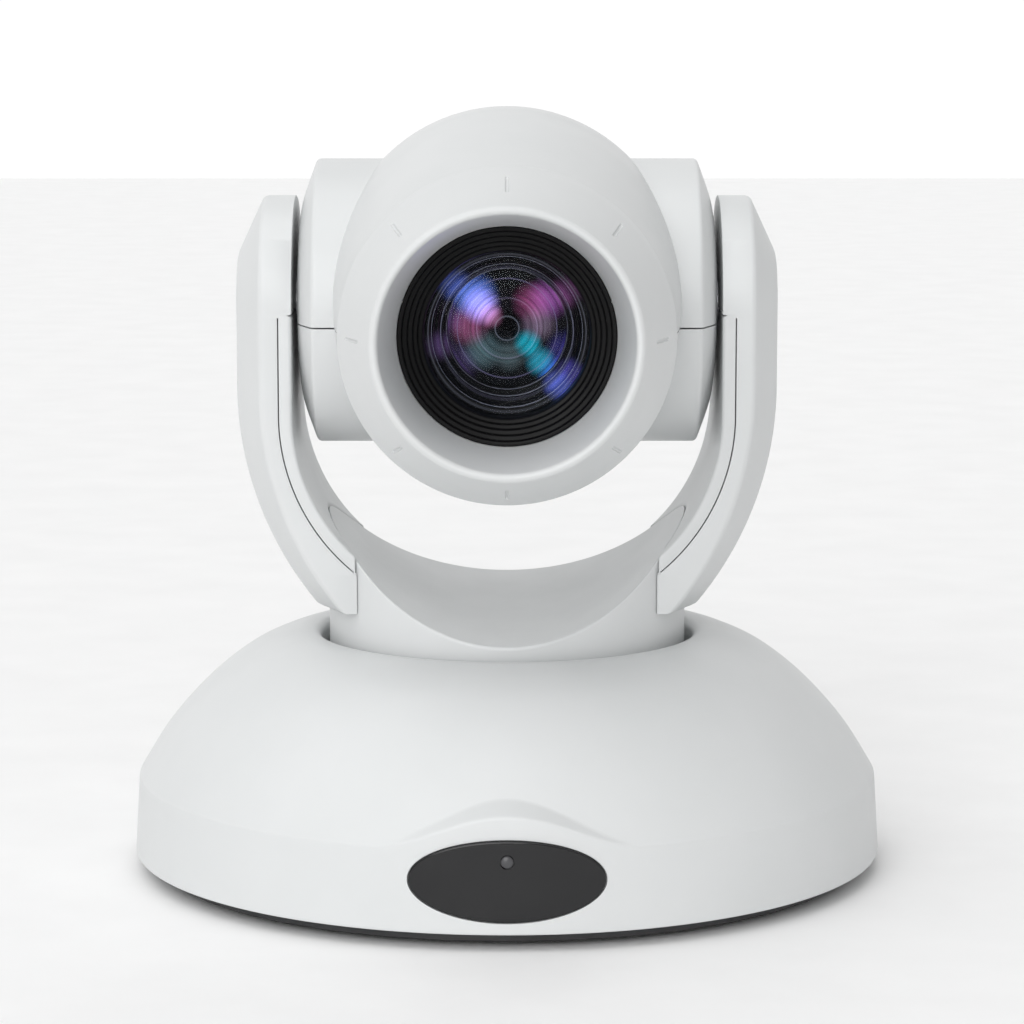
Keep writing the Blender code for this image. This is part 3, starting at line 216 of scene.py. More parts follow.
def box_tool(low, high):
    corners = [(x, y, z) for x in (low[0], high[0]) for y in (low[1], high[1]) for z in (low[2], high[2])]
    faces = [(0, 1, 3, 2), (4, 6, 7, 5), (0, 4, 5, 1), (2, 3, 7, 6), (0, 2, 6, 4), (1, 5, 7, 3)]
    return piece("tool", corners, faces, None, None)


def turned_tool(profile, axis="Z", segments=48, centre=(0, 0, 0)):
    vertices, faces = turned(profile, axis, segments, centre)
    return piece("tool", vertices, faces, None, None)


def prism_tool(outline, y0, y1):
    count = len(outline)
    vertices = [(x, y0, z) for x, z in outline] + [(x, y1, z) for x, z in outline]
    faces = [tuple(range(count)), tuple(range(2 * count - 1, count - 1, -1))]
    faces += [(i, i + count, (i + 1) % count + count, (i + 1) % count) for i in range(count)]
    return piece("tool", vertices, faces, None, None)


# ---------------------------------------------------------------- materials

def new_material(name):
    found = bpy.data.materials.new(name)
    found.use_nodes = True
    tree = found.node_tree
    shader = tree.nodes["Principled BSDF"]
    place = tree.nodes.new("ShaderNodeTexCoord")
    return found, tree, shader, place.outputs["Object"]


def noise(tree, place, scale, detail=3.0, roughness=0.5):
    node = tree.nodes.new("ShaderNodeTexNoise")
    node.inputs["Scale"].default_value = scale
    node.inputs["Detail"].default_value = detail
    node.inputs["Roughness"].default_value = roughness
    tree.links.new(place, node.inputs["Vector"])
    return node.outputs["Fac"]


def spread(tree, value, low, high, start=0.3, end=0.7):
    node = tree.nodes.new("ShaderNodeMapRange")
    node.inputs["From Min"].default_value = start
    node.inputs["From Max"].default_value = end
    node.inputs["To Min"].default_value = low
    node.inputs["To Max"].default_value = high
    tree.links.new(value, node.inputs["Value"])
    return node.outputs["Result"]


def tinted(tree, value, dark, light):
    node = tree.nodes.new("ShaderNodeMix")
    node.data_type = "RGBA"
    node.inputs["A"].default_value = (*dark, 1)
    node.inputs["B"].default_value = (*light, 1)
    tree.links.new(value, node.inputs["Factor"])
    return node.outputs["Result"]


def bumped(tree, shader, value, strength, distance):
    node = tree.nodes.new("ShaderNodeBump")
    node.inputs["Strength"].default_value = strength
    node.inputs["Distance"].default_value = distance
    tree.links.new(value, node.inputs["Height"])
    tree.links.new(node.outputs["Normal"], shader.inputs["Normal"])


def grained(name, dark, light, rough=(0.4, 0.5), grain=2600.0, strength=0.2, depth=0.00003, metallic=0.0,
            specular=0.5, coat=0.0):
    """Moulded, painted or cast material: fine grain, and slow changes of colour and gloss."""
    found, tree, shader, place = new_material(name)
    slow = noise(tree, place, 28.0, 4.0)
    fine = noise(tree, place, grain, 2.0, 0.6)
    tree.links.new(tinted(tree, spread(tree, slow, 0, 1), dark, light), shader.inputs["Base Color"])
    tree.links.new(spread(tree, noise(tree, place, 90.0, 5.0), *rough), shader.inputs["Roughness"])
    bumped(tree, shader, fine, strength, depth)
    shader.inputs["Metallic"].default_value = metallic
    shader.inputs["Specular IOR Level"].default_value = specular
    shader.inputs["Coat Weight"].default_value = coat
    return found


def brushed(name, dark, light, rough=(0.25, 0.4)):
    """Machined metal with fine marks."""
    found, tree, shader, place = new_material(name)
    stretch = tree.nodes.new("ShaderNodeMapping")
    stretch.inputs["Scale"].default_value = (1.0, 1.0, 9.0)
    tree.links.new(place, stretch.inputs["Vector"])
    marks = noise(tree, stretch.outputs["Vector"], 900.0, 3.0, 0.6)
    tree.links.new(tinted(tree, spread(tree, marks, 0, 1), dark, light), shader.inputs["Base Color"])
    tree.links.new(spread(tree, marks, *rough), shader.inputs["Roughness"])
    bumped(tree, shader, marks, 0.15, 0.00002)
    shader.inputs["Metallic"].default_value = 1.0
    return found


def painted_coating_reflection(tree, place, strength, patches, rings):
    """Painted reflections of a coated lens, given off as glow: soft patches about the lens axis, cut by thin
    rings.
    """
    links = tree.links
    move = tree.nodes.new("ShaderNodeMapping")
    move.inputs["Location"].default_value = (0, 0, -(TILT_Z - LENS_DROP) * MM)
    move.inputs["Scale"].default_value = (1, 0, 1)
    links.new(place, move.inputs["Vector"])
    flat = move.outputs["Vector"]
    total = None
    for x, z, size, colour, power in patches:
        away = tree.nodes.new("ShaderNodeVectorMath")
        away.operation = "DISTANCE"
        links.new(flat, away.inputs[0])
        away.inputs[1].default_value = (x * MM, 0, z * MM)
        fall = tree.nodes.new("ShaderNodeMapRange")
        fall.interpolation_type = "SMOOTHSTEP"
        fall.inputs["From Min"].default_value = size * MM
        fall.inputs["From Max"].default_value = 0.15 * size * MM
        fall.inputs["To Min"].default_value = 0.0
        fall.inputs["To Max"].default_value = power
        links.new(away.outputs["Value"], fall.inputs["Value"])
        tone = tree.nodes.new("ShaderNodeVectorMath")
        tone.operation = "SCALE"
        tone.inputs[0].default_value = colour
        links.new(fall.outputs["Result"], tone.inputs["Scale"])
        if total is None:
            total = tone.outputs["Vector"]
            continue
        both = tree.nodes.new("ShaderNodeVectorMath")
        links.new(total, both.inputs[0])
        links.new(tone.outputs["Vector"], both.inputs[1])
        total = both.outputs["Vector"]
    radius = tree.nodes.new("ShaderNodeVectorMath")
    radius.operation = "LENGTH"
    links.new(flat, radius.inputs[0])
    # thin ripples in the strength of the painted reflection, outward from the lens axis
    ripple = tree.nodes.new("ShaderNodeTexNoise")
    ripple.noise_dimensions = "1D"
    ripple.inputs["Scale"].default_value = 900.0
    ripple.inputs["Detail"].default_value = 3.0
    links.new(radius.outputs["Value"], ripple.inputs["W"])
    lit = tree.nodes.new("ShaderNodeVectorMath")
    lit.operation = "SCALE"
    links.new(total, lit.inputs[0])
    links.new(spread(tree, ripple.outputs["Fac"], 0.45 * strength, 1.25 * strength), lit.inputs["Scale"])
    total = lit.outputs["Vector"]
    for middle, half_width, colour, power in rings:
        total = painted_reflection_ring(tree, radius.outputs["Value"], total, middle, half_width, colour, power)
    return total


def painted_reflection_ring(tree, radius, below, middle, half_width, colour, power):
    """A thin soft ring of painted reflection about the lens axis, added to the tones below it."""
    links = tree.links
    away = tree.nodes.new("ShaderNodeMath")
    away.operation = "SUBTRACT"
    links.new(radius, away.inputs[0])
    away.inputs[1].default_value = middle * MM
    size = tree.nodes.new("ShaderNodeMath")
    size.operation = "ABSOLUTE"
    links.new(away.outputs[0], size.inputs[0])
    fall = spread(tree, size.outputs[0], power, 0.0, 0.0, half_width * MM)
    tone = tree.nodes.new("ShaderNodeVectorMath")
    tone.operation = "SCALE"
    tone.inputs[0].default_value = colour
    links.new(fall, tone.inputs["Scale"])
    both = tree.nodes.new("ShaderNodeVectorMath")
    links.new(below, both.inputs[0])
    links.new(tone.outputs["Vector"], both.inputs[1])
    return both.outputs["Vector"]


# painted reflection patches of the coated element: x, z, size in millimetres about the lens axis, colour, strength
PAINTED_REFLECTION_PATCHES = [
    (-8.2, 8.2, 6.8, (0.10, 0.18, 0.62), 0.9),
    (-6.6, 5.6, 5.6, (0.42, 0.30, 0.85), 0.75),
    (-4.2, 3.2, 3.8, (0.62, 0.22, 0.42), 0.55),
    (-9.6, 0.5, 6.0, (0.30, 0.08, 0.18), 0.55),
    (-6.0, -5.5, 6.0, (0.10, 0.17, 0.19), 0.5),
    (0.5, -6.8, 5.0, (0.09, 0.13, 0.14), 0.5),
    (6.4, 6.6, 6.0, (0.28, 0.06, 0.16), 0.6),
    (10.6, 7.6, 6.5, (0.26, 0.07, 0.30), 0.6),
    (7.8, 1.2, 5.5, (0.24, 0.16, 0.24), 0.5),
    (5.2, -3.8, 4.2, (0.01, 0.36, 0.46), 0.75),
    (8.4, -8.4, 4.6, (0.02, 0.30, 0.42), 0.7),
    (12.4, -11.6, 5.4, (0.04, 0.06, 0.50), 0.9),
    (15.0, -6.0, 6.5, (0.05, 0.04, 0.22), 0.6),
    (-12.5, -9.0, 6.5, (0.05, 0.03, 0.10), 0.6),
    (-15.0, 3.0, 6.0, (0.07, 0.04, 0.13), 0.6),
]
# painted reflection rings of the coated element: middle radius and half width in millimetres, colour, strength
PAINTED_REFLECTION_RINGS = [
    (3.0, 0.22, (0.30, 0.32, 0.40), 0.25),
    (7.6, 0.20, (0.32, 0.26, 0.42), 0.20),
    (12.5, 0.22, (0.26, 0.22, 0.42), 0.22),
]
# painted reflection patches of the front glass, columns as above
FRONT_PAINTED_REFLECTION_PATCHES = [
    (12.6, -12.8, 4.6, (0.10, 0.14, 0.62), 0.50),
    (15.6, -9.6, 4.2, (0.06, 0.05, 0.30), 0.50),
    (-12.8, 11.8, 5.0, (0.06, 0.10, 0.40), 0.45),
    (-16.6, -3.0, 4.6, (0.07, 0.04, 0.12), 0.45),
    (14.4, 10.0, 5.0, (0.16, 0.05, 0.16), 0.40),
]
# painted reflection rings of the front glass, columns as above
FRONT_PAINTED_REFLECTION_RINGS = [
    (16.4, 0.22, (0.22, 0.22, 0.34), 0.12),
    (19.5, 0.24, (0.26, 0.27, 0.34), 0.14),
]


def glass(name, painted_reflection_strength=0.0, gloss=0.05, patches=(), rings=()):
    """Clear coated glass: see-through, with a thin reflection, and the coating's coloured reflections painted on
    as glow.
    """
    found, tree, shader, place = new_material(name)
    links = tree.links
    shader.inputs["Roughness"].default_value = 0.04
    shader.inputs["Base Color"].default_value = (0.01, 0.01, 0.012, 1)
    links.new(spread(tree, noise(tree, place, 60.0), 0.02, 0.05), shader.inputs["Roughness"])
    shader.inputs["Specular IOR Level"].default_value = 0.6
    clear = tree.nodes.new("ShaderNodeBsdfTransparent")
    clear.inputs["Color"].default_value = (0.93, 0.95, 0.97, 1)
    edge = tree.nodes.new("ShaderNodeLayerWeight")
    edge.inputs["Blend"].default_value = 0.25
    mix = tree.nodes.new("ShaderNodeMixShader")
    links.new(spread(tree, edge.outputs["Facing"], gloss, 0.55, 0.35, 1.0), mix.inputs[0])
    links.new(clear.outputs[0], mix.inputs[1])
    links.new(shader.outputs[0], mix.inputs[2])
    last = mix.outputs[0]
    # the coating's coloured reflections, painted on as emission
    if painted_reflection_strength:
        painted_reflection_glow = tree.nodes.new("ShaderNodeEmission")
        links.new(painted_coating_reflection(tree, place, painted_reflection_strength, patches, rings), painted_reflection_glow.inputs["Color"])
        both = tree.nodes.new("ShaderNodeAddShader")
        links.new(last, both.inputs[0])
        links.new(painted_reflection_glow.outputs[0], both.inputs[1])
        last = both.outputs[0]
    links.new(last, tree.nodes["Material Output"].inputs["Surface"])
    return found


LOOKS = {
    "white_plastic": grained("white_shell", (0.655, 0.67, 0.672), (0.68, 0.692, 0.695), (0.36, 0.44),
                             2200.0, 0.12),
    "black_plastic": grained("black_plastic", (0.012, 0.012, 0.013), (0.02, 0.02, 0.022), (0.38, 0.55),
                             1800.0, 0.25),
    "gloss_black": grained("gloss_window", (0.004, 0.004, 0.005), (0.008, 0.008, 0.009), (0.05, 0.10),
                           300.0, 0.02),
    "black_steel": grained("black_powder_coat", (0.022, 0.022, 0.024), (0.035, 0.035, 0.037), (0.45, 0.65),
                           1500.0, 0.4),
    "rubber": grained("rubber", (0.016, 0.016, 0.016), (0.028, 0.028, 0.028), (0.75, 0.9), 1200.0, 0.4),
    "lamp_lens": grained("lamp_lens", (0.05, 0.05, 0.055), (0.08, 0.08, 0.085), (0.2, 0.3), 900.0, 0.1),
    "steel": brushed("machined_steel", (0.45, 0.46, 0.48), (0.62, 0.63, 0.65)),
    "cast_metal": grained("cast_alloy", (0.36, 0.37, 0.38), (0.48, 0.49, 0.50), (0.45, 0.6),
                          1100.0, 0.4, 0.00004, 1.0),
    "brass": brushed("machined_brass", (0.60, 0.42, 0.16), (0.78, 0.58, 0.26)),
    "circuit_board": grained("circuit_board", (0.01, 0.10, 0.045), (0.02, 0.15, 0.07), (0.35, 0.5),
                             700.0, 0.2),
    "nylon": grained("natural_nylon", (0.66, 0.65, 0.60), (0.74, 0.73, 0.69), (0.45, 0.6), 1300.0, 0.2),
    "lens_glass": glass("lens_glass"),
}
# glass with the coating's coloured reflections painted on as glow
PAINTED_REFLECTION_GLASS = glass("lens_painted_reflection", 0.8, patches=PAINTED_REFLECTION_PATCHES, rings=PAINTED_REFLECTION_RINGS)
FRONT_PAINTED_REFLECTION_GLASS = glass("front_painted_reflection", 0.75, patches=FRONT_PAINTED_REFLECTION_PATCHES, rings=FRONT_PAINTED_REFLECTION_RINGS)
BAFFLE = grained("lens_baffle", (0.0025, 0.0025, 0.0028), (0.0045, 0.0045, 0.0048), (0.36, 0.50), 1500.0, 0.1,
                 specular=0.15)
LIP = brushed("turned_lip", (0.20, 0.20, 0.24), (0.34, 0.34, 0.40), (0.25, 0.35))


def dress_frame():
    """Every CAD node gets its slot's procedural material."""
    slots = {part["node"]: part["material_slot"] for part in frame["record"]["subparts"]}
    for node, made in frame["nodes"].items():
        made.data.materials.clear()
        made.data.materials.append(LOOKS[slots[node]])


# ---------------------------------------------------------------- base

def belt_radius(z):
    return BASE_R - BELT_DRAFT * (z - BELT_BOTTOM) / (BELT_TOP - BELT_BOTTOM)


def dome_points(steps):
    crease = (belt_radius(BELT_TOP), BELT_TOP)
    rise, span = RIM_TOP - BELT_TOP, crease[0] - RIM_R
    shares = [(0.0, 0.005), (0.16, 0.33), (0.37, 0.63), (0.575, 0.84), (0.75, 0.95), (0.89, 1.0)]
    return smooth_through([(crease[0] - u * span, crease[1] + v * rise) for u, v in shares], steps)


def along(curve, count, start_z):
    """count points evenly along a curve of (r, z), from height start_z to its end."""
    line = np.array(curve)
    first = int(np.searchsorted(line[:, 1], start_z))
    if first > 0:
        a, b = line[first - 1], line[first]
        t = (start_z - a[1]) / (b[1] - a[1])
        line = np.vstack([a + (b - a) * t, line[first:]])
    length = np.concatenate([[0], np.cumsum(np.hypot(*np.diff(line, axis=0).T))])
    at = np.linspace(0, length[-1], count)
    return np.column_stack([np.interp(at, length, line[:, 0]), np.interp(at, length, line[:, 1])])


def soft_limit(value, limit, width=1.2):
    """value, eased off so that it never passes limit."""
    excess = (value - limit) / width
    if excess > 30:
        return limit
    return limit - width * np.log1p(np.exp(-excess)) if excess > -30 else value


def pad_share(x):
    """How far the belt's crease is lifted over the window, 0 to 1."""
    if abs(x) >= PAD_HALF:
        return 0.0
    return (0.5 + 0.5 * cos(pi * x / PAD_HALF)) ** 0.85


def make_base_shell():
    dome = dome_points(14)
    columns = 320
    inner_dome = [(r - 0.8 * BASE_WALL, z - 0.75 * BASE_WALL) for r, z in dome_points(4)][::-1]
    vertices = []
    for k in range(columns):
        angle = 2 * pi * k / columns
        front = cos(angle) > 0
        share = pad_share(98 * sin(angle)) if front else 0.0
        crease = BELT_TOP + PAD_RISE * share
        start = crease + 0.5 + 2.4 * share
        dome_part = along(dome, 40, start)
        foot = tuple(dome_part[0])
        edge = (belt_radius(crease), crease)
        outline = rounded([(BASE_R - 2.5, BELT_BOTTOM), (belt_radius(BELT_BOTTOM), BELT_BOTTOM)]
                          + [(belt_radius(z), z) for z in np.linspace(BELT_BOTTOM + 1, crease - 1.2, 9)]
                          + [edge, foot, tuple(dome_part[1])],
                          [0, 0.9] + [0] * 9 + [0.8, 1.2, 0], 4)[:-1]
        outline += [tuple(p) for p in dome_part[1:]]
        lip_r = 2.4
        outline += [(RIM_R + lip_r + lip_r * cos(radians(a)), RIM_TOP - lip_r + lip_r * sin(radians(a)))
                    for a in range(90, 181, 15)]
        outer_count = len(outline)
        outline += [(RIM_R, RIM_TOP - 9), (RIM_R + BASE_WALL, RIM_TOP - 9),
                    (RIM_R + BASE_WALL, RIM_TOP - 4.6)]
        outline += [p for p in inner_dome if p[0] > RIM_R + BASE_WALL + 1]
        outline += [(belt_radius(BELT_TOP) - BASE_WALL, BELT_TOP - 2),
                    (belt_radius(BELT_TOP) - BASE_WALL, BELT_BOTTOM)]
        for i, (r, z) in enumerate(outline):
            limit = BASE_BACK if i < outer_count else BASE_BACK - BASE_WALL
            x, y = r * sin(angle), -r * cos(angle)
            vertices.append((x, soft_limit(y, limit) if y > 60 else y, z))
    rows = len(vertices) // columns
    shell = piece("base_shell_fine", vertices, grid_faces(columns, rows, True, True), None, None)
    shell.data.materials.append(LOOKS["white_plastic"])
    boolean(shell, window_solid(0.25, belt_radius(WINDOW_Z) - 1.3, 110.0))
    boolean(shell, prism_tool(rear_outline(), BASE_BACK - 8, BASE_BACK + 10))
    clean(shell)
    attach(shell, "base")
    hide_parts("base_shell")


def rear_outline():
    """The opening for the rear panel, a little inside the shell's wall."""
    flat_y = BASE_BACK - 2.0
    inner = [(belt_radius(BELT_TOP) - BASE_WALL, BELT_BOTTOM - 2),
             (belt_radius(BELT_TOP) - BASE_WALL, BELT_TOP - 2)]
    inner += [(r - 0.8 * BASE_WALL, z - 0.75 * BASE_WALL) for r, z in dome_points(8)]
    half = [(sqrt(max(r * r - flat_y * flat_y, 0)), z) for r, z in inner if r > flat_y]
    return [(-x, z) for x, z in half] + [(x, z) for x, z in reversed(half)]


def window_solid(grow, inner, outer, bevel=0.0, name="tool", look=None):
    """A piece of a cylinder's wall with an elliptical outline."""
    rings, around_count = 8, 96
    vertices = []
    layers = [(inner, 1.0, 0.0), (inner, 1.0, 1.0)]
    shares = np.linspace(0, 1, rings)
    rows = [(s, inner) for s in shares]
    if bevel:
        steps = [radians(a) for a in (0, 30, 60, 90)]
        rows += [(("edge", bevel * (1 - cos(a))), outer - bevel + bevel * sin(a)) for a in steps]
        rows += [(s * (1 - bevel / WINDOW_HALF_H), outer) for s in shares[::-1]]
    else:
        rows += [(s, outer) for s in shares[::-1]]
    for s, radius in rows:
        inset = 0.0
        if isinstance(s, tuple):
            inset, s = s[1], 1.0
        for k in range(around_count):
            a = 2 * pi * k / around_count
            x = s * (WINDOW_HALF_W + grow - inset) * cos(a)
            z = WINDOW_Z + s * (WINDOW_HALF_H + grow - inset) * sin(a)
            vertices.append((x, -sqrt(radius * radius - x * x), z))
    return piece(name, vertices, grid_faces(len(rows), around_count, False, True), None, look)


def make_window():
    outer = belt_radius(WINDOW_Z) + 0.3
    window = window_solid(0.0, outer - 1.4, outer, 0.35, "front_window_fine", LOOKS["gloss_black"])
    hole = [(0, -outer - 2), (1.8, -outer - 2), (1.8, -outer + 0.8), (0, -outer + 0.8)]
    boolean(window, turned_tool(hole, "Y", 40, (0, 0, LAMP_Z)))
    clean(window)
    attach(window, "base")
    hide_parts("front_window")
    dome = [(0, -outer - 0.25)]
    dome += [(1.55 * sin(radians(a)), -outer + 0.3 - 0.55 * cos(radians(a))) for a in range(15, 91, 15)]
    dome += [(1.55, -outer + 1.0), (0, -outer + 1.0)]
    vertices, faces = turned(dome, "Y", 40, (0, 0, LAMP_Z))
    piece("status_lamp_fine", vertices, faces, "base", LOOKS["lamp_lens"], ("status_lamp",))


# ---------------------------------------------------------------- yoke

def outer_arm_x(z):
    if z >= OUTER_ARC_Z:
        return ARM_OUTER
    return ARM_OUTER - OUTER_ARC_R + sqrt(OUTER_ARC_R ** 2 - (OUTER_ARC_Z - z) ** 2)


def inner_arm_x(z, grow=0.0):
    """The arm's inner face, or a surface grow further out."""
    centre = ARM_INNER - INNER_ARC_R
    if z >= INNER_ARC_Z:
        return ARM_INNER + grow
    drop = INNER_ARC_Z - z
    radius = INNER_ARC_R + grow
    return centre + sqrt(max(radius * radius - drop * drop, 0))


def saddle_z(x, y):
    """Height of the cradle's top over a point of its plan."""
    x = abs(x)
    mid = SADDLE_MID_Z + SADDLE_SLOPE * y
    drop = SADDLE_SIDE_Z - mid
    radius = (SADDLE_HALF ** 2 + drop ** 2) / (2 * drop)
    if x <= SADDLE_HALF:
        return mid + radius - sqrt(radius ** 2 - x * x)
    centre = ARM_INNER - INNER_ARC_R
    return INNER_ARC_Z - sqrt(max(INNER_ARC_R ** 2 - (x - centre) ** 2, 0))


def eased(count, power=0.5):
    """Shares from 0 to 1, closer together at both ends."""
    t = np.linspace(0, 1, count)
    return (1 - power) * t + power * (0.5 - 0.5 * np.cos(pi * t))


def arm_slab(side, low_face, high_face, bottom, top, fillets, columns=45, rows=110):
    """A solid between two faces over an arm's outline: each face gives |x| at (y, z)."""
    ys = ARM_HALF * np.sin((eased(columns, 0.3) - 0.5) * pi)
    faces_points = []
    for face, sign, fillet in ((low_face, 1, fillets[0]), (high_face, -1, fillets[1])):
        layer = []
        for y in ys:
            round_top = TILT_Z + sqrt(max(ARM_HALF ** 2 - y * y, 0))
            end = min(top, round_top)
            start = bottom(y) if callable(bottom) else bottom
            column = []
            for t in eased(rows, 0.6):
                z = start + (end - start) * t
                edge = ARM_HALF - abs(y) if z <= TILT_Z else ARM_HALF - hypot(y, z - TILT_Z)
                edge = min(edge, z - start, end - z if top < TILT_Z else 99)
                dip = 0.0
                if edge < fillet:
                    dip = fillet - sqrt(max(fillet ** 2 - (fillet - max(edge, 0)) ** 2, 0))
                column.append((side * (face(y, z) + sign * dip), y, z))
            layer.append(column)
        faces_points.append(layer)
    low, high = faces_points
    vertices = [p for column in low for p in column] + [p for column in high for p in column]
    size = columns * rows
    faces = [f for f in grid_faces(columns, rows)]
    faces += [tuple(i + size for i in reversed(f)) for f in grid_faces(columns, rows)]
    border = ([(0, j) for j in range(rows)] + [(i, rows - 1) for i in range(1, columns)]
              + [(columns - 1, j) for j in range(rows - 2, -1, -1)]
              + [(i, 0) for i in range(columns - 2, 0, -1)])
    loop = [i * rows + j for i, j in border]
    faces += [(a, b, b + size, a + size) for a, b in zip(loop, loop[1:] + loop[:1])]
    return vertices, faces


def chamfered_outer(y, z):
    away = abs(y) if z <= TILT_Z else hypot(y, z - TILT_Z)
    lost = ARM_CHAMFER * max(0.0, away - ARM_FLAT) / (ARM_HALF - ARM_FLAT)
    if abs(away - ARM_FLAT) < 1.2:
        lost = ARM_CHAMFER * (away - ARM_FLAT + 1.2) ** 2 / 4.8 / (ARM_HALF - ARM_FLAT)
    return outer_arm_x(z) - lost


def make_arms():
    wall_r = TURNTABLE_R + SEAM

    def beside_turntable(y):
        return sqrt(max(wall_r ** 2 - y * y, 0))

    def shell_inner(y, z):
        face = ARM_INNER if z > COVER_TOP + SEAM else inner_arm_x(z, COVER_T + SEAM)
        return max(face, beside_turntable(y))

    def shell_outer(y, z):
        return max(chamfered_outer(y, z), shell_inner(y, z) + 0.4)

    def cover_inner(y, z):
        return max(inner_arm_x(z), beside_turntable(y))

    def cover_outer(y, z):
        return max(inner_arm_x(z, COVER_T), cover_inner(y, z) + 0.02)

    def cover_bottom(y):
        reach = beside_turntable(y) - (ARM_INNER - INNER_ARC_R)
        return INNER_ARC_Z - sqrt((INNER_ARC_R + COVER_T) ** 2 - reach ** 2)

    for side, prefix in ((-1, "left"), (1, "right")):
        vertices, faces = arm_slab(side, shell_inner, shell_outer, ARM_LEDGE, TILT_Z + ARM_HALF,
                                   (0.15, 1.1), 61, 190)
        piece(f"{prefix}_arm_shell_fine", vertices, faces, "yoke", LOOKS["white_plastic"],
              (f"{prefix}_arm_shell",), sharp=40)
        vertices, faces = arm_slab(side, cover_inner, cover_outer, cover_bottom, COVER_TOP,
                                   (0.9, 0.1), 61, 120)
        piece(f"{prefix}_arm_cover_fine", vertices, faces, "yoke", LOOKS["white_plastic"],
              (f"{prefix}_arm_cover",), sharp=40)


def make_cradle():
    around_count, rings = 256, 40
    vertices = []
    fillet = 0.7
    shares = 1 - (1 - np.linspace(0, 1, rings)) ** 1.6
    profile_low = [(TURNTABLE_R, TURNTABLE_BOTTOM + 1), (TURNTABLE_R - 2, TURNTABLE_BOTTOM),
                   (CABLE_BORE, TURNTABLE_BOTTOM)]
    rows = []
    for s in shares:
        row = []
        radius = max(s * TURNTABLE_R, CABLE_BORE) if s > 0 else CABLE_BORE
        for k in range(around_count):
            a = 2 * pi * k / around_count
            x, y = radius * sin(a), -radius * cos(a)
            edge = TURNTABLE_R - radius
            dip = 0.0
            if edge < fillet:
                dip = fillet - sqrt(max(fillet ** 2 - (fillet - edge) ** 2, 0))
            row.append((x, y, saddle_z(x, y) - dip))
        rows.append(row)
    # The saddle's surface carries on over the spindle, as a shallow middle
    middle = []
    for share in (0.66, 0.33, 0.02):
        reach = CABLE_BORE * share
        spots = [(reach * sin(2 * pi * k / around_count), -reach * cos(2 * pi * k / around_count))
                 for k in range(around_count)]
        middle.append([(x, y, saddle_z(x, y)) for x, y in spots])
    rows = middle[::-1] + rows
    for t in np.linspace(0.03, 1, 14):
        row = []
        for k in range(around_count):
            a = 2 * pi * k / around_count
            x, y = TURNTABLE_R * sin(a), -TURNTABLE_R * cos(a)
            top = saddle_z(x, y) - fillet
            row.append((x, y, top + (TURNTABLE_BOTTOM + 1 - top) * t))
        rows.append(row)
    for radius, z in profile_low[1:]:
        rows.append([(radius * sin(2 * pi * k / around_count), -radius * cos(2 * pi * k / around_count), z)
                     for k in range(around_count)])
    rows.append([(CABLE_BORE * sin(2 * pi * k / around_count), -CABLE_BORE * cos(2 * pi * k / around_count),
                  TURNTABLE_BOTTOM + 3) for k in range(around_count)])
    vertices = [p for row in rows for p in row]
    faces = grid_faces(len(rows), around_count, False, True)
    faces.append(tuple(range(around_count)))
    last = (len(rows) - 1) * around_count
    faces.append(tuple(range(last + around_count - 1, last - 1, -1)))
    piece("yoke_cradle_fine", vertices, faces, "yoke", LOOKS["white_plastic"],
          ("yoke_cradle",), sharp=40)


# ---------------------------------------------------------------- head

BARREL = [(-66.0, -3.5, 40.3), (-52.0, -1.0, 42.3), (-40.0, 1.1, 43.8), (-27.0, 3.3, 44.8),
          (-15.0, 4.8, 45.2),
          (-5.0, 5.3, 45.28), (5.0, 5.3, 45.3), (15.0, 4.8, 44.88), (25.0, 3.8, 43.4), (33.0, 2.7, 41.0),
          (40.0, 1.6, 37.6), (45.5, 0.7, 33.2), (50.0, 0.2, 27.0), (52.8, 0.0, 19.5),
          (54.0, 0.0, 10.0), (54.2, 0.0, 1.0)]


def barrel_solid(name, inset, segments, steps):
    rings = smooth_through(BARREL, steps)
    vertices = []
    for y, z, r in rings:
        r = max(r - inset, 0.4)
        if inset:
            y = y * (1 - inset / 54.2) if y > 0 else y - 1.0
        vertices += [(r * sin(2 * pi * k / segments), y, z + r * cos(2 * pi * k / segments))
                     for k in range(segments)]
    faces = grid_faces(len(rings), segments, False, True)
    faces.append(tuple(range(segments)))
    last = (len(rings) - 1) * segments
    faces.append(tuple(range(last + segments - 1, last - 1, -1)))
    return piece(name, vertices, faces, None, None, height=TILT_Z)


def drum_solid(inset, segments):
    half = [(0, DRUM_CAP - inset), (20 - inset, DRUM_CAP - inset),
            (26.5 - inset, 53.3 - inset), (31.5 - inset, 51.6 - inset),
            (DRUM_R - inset, DRUM_HALF - inset), (DRUM_R - inset, 0.001)]
    soft = rounded(half, [0, 3, 2.5, 1.5, 1.0 if not inset else 0, 0], 5)
    profile = soft + [(r, -x) for r, x in reversed(soft)][1:]
    vertices, faces = turned(profile, "X", segments)
    return piece("tool", vertices, faces, None, None, height=TILT_Z)


def make_head_shells():
    body = boolean(barrel_solid("head_upper_shell_fine", 0.0, 192, 4), drum_solid(0.0, 192), "UNION")
    room = boolean(barrel_solid("room", HEAD_WALL, 64, 2), drum_solid(HEAD_WALL, 64), "UNION")
    boolean(body, room)
    for low, high in ((-60, -45), (45, 60)):
        boolean(body, turned_tool([(0, low), (10.3, low), (10.3, high), (0, high)], "X", 48, (0, 0, TILT_Z)))
    body.data.materials.clear()
    body.data.materials.append(LOOKS["white_plastic"])
    lower = bpy.data.objects.new("head_lower_shell_fine", body.data.copy())
    bpy.context.scene.collection.objects.link(lower)
    seam = TILT_Z + HEAD_SEAM
    boolean(body, box_tool((-200, -200, 0), (200, 200, seam + 0.2)))
    boolean(lower, box_tool((-200, -200, seam - 0.2), (200, 200, 400)))
    for made, node in ((body, "head_upper_shell"), (lower, "head_lower_shell")):
        clean(made, 30)
        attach(made, "head")
        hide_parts(node)


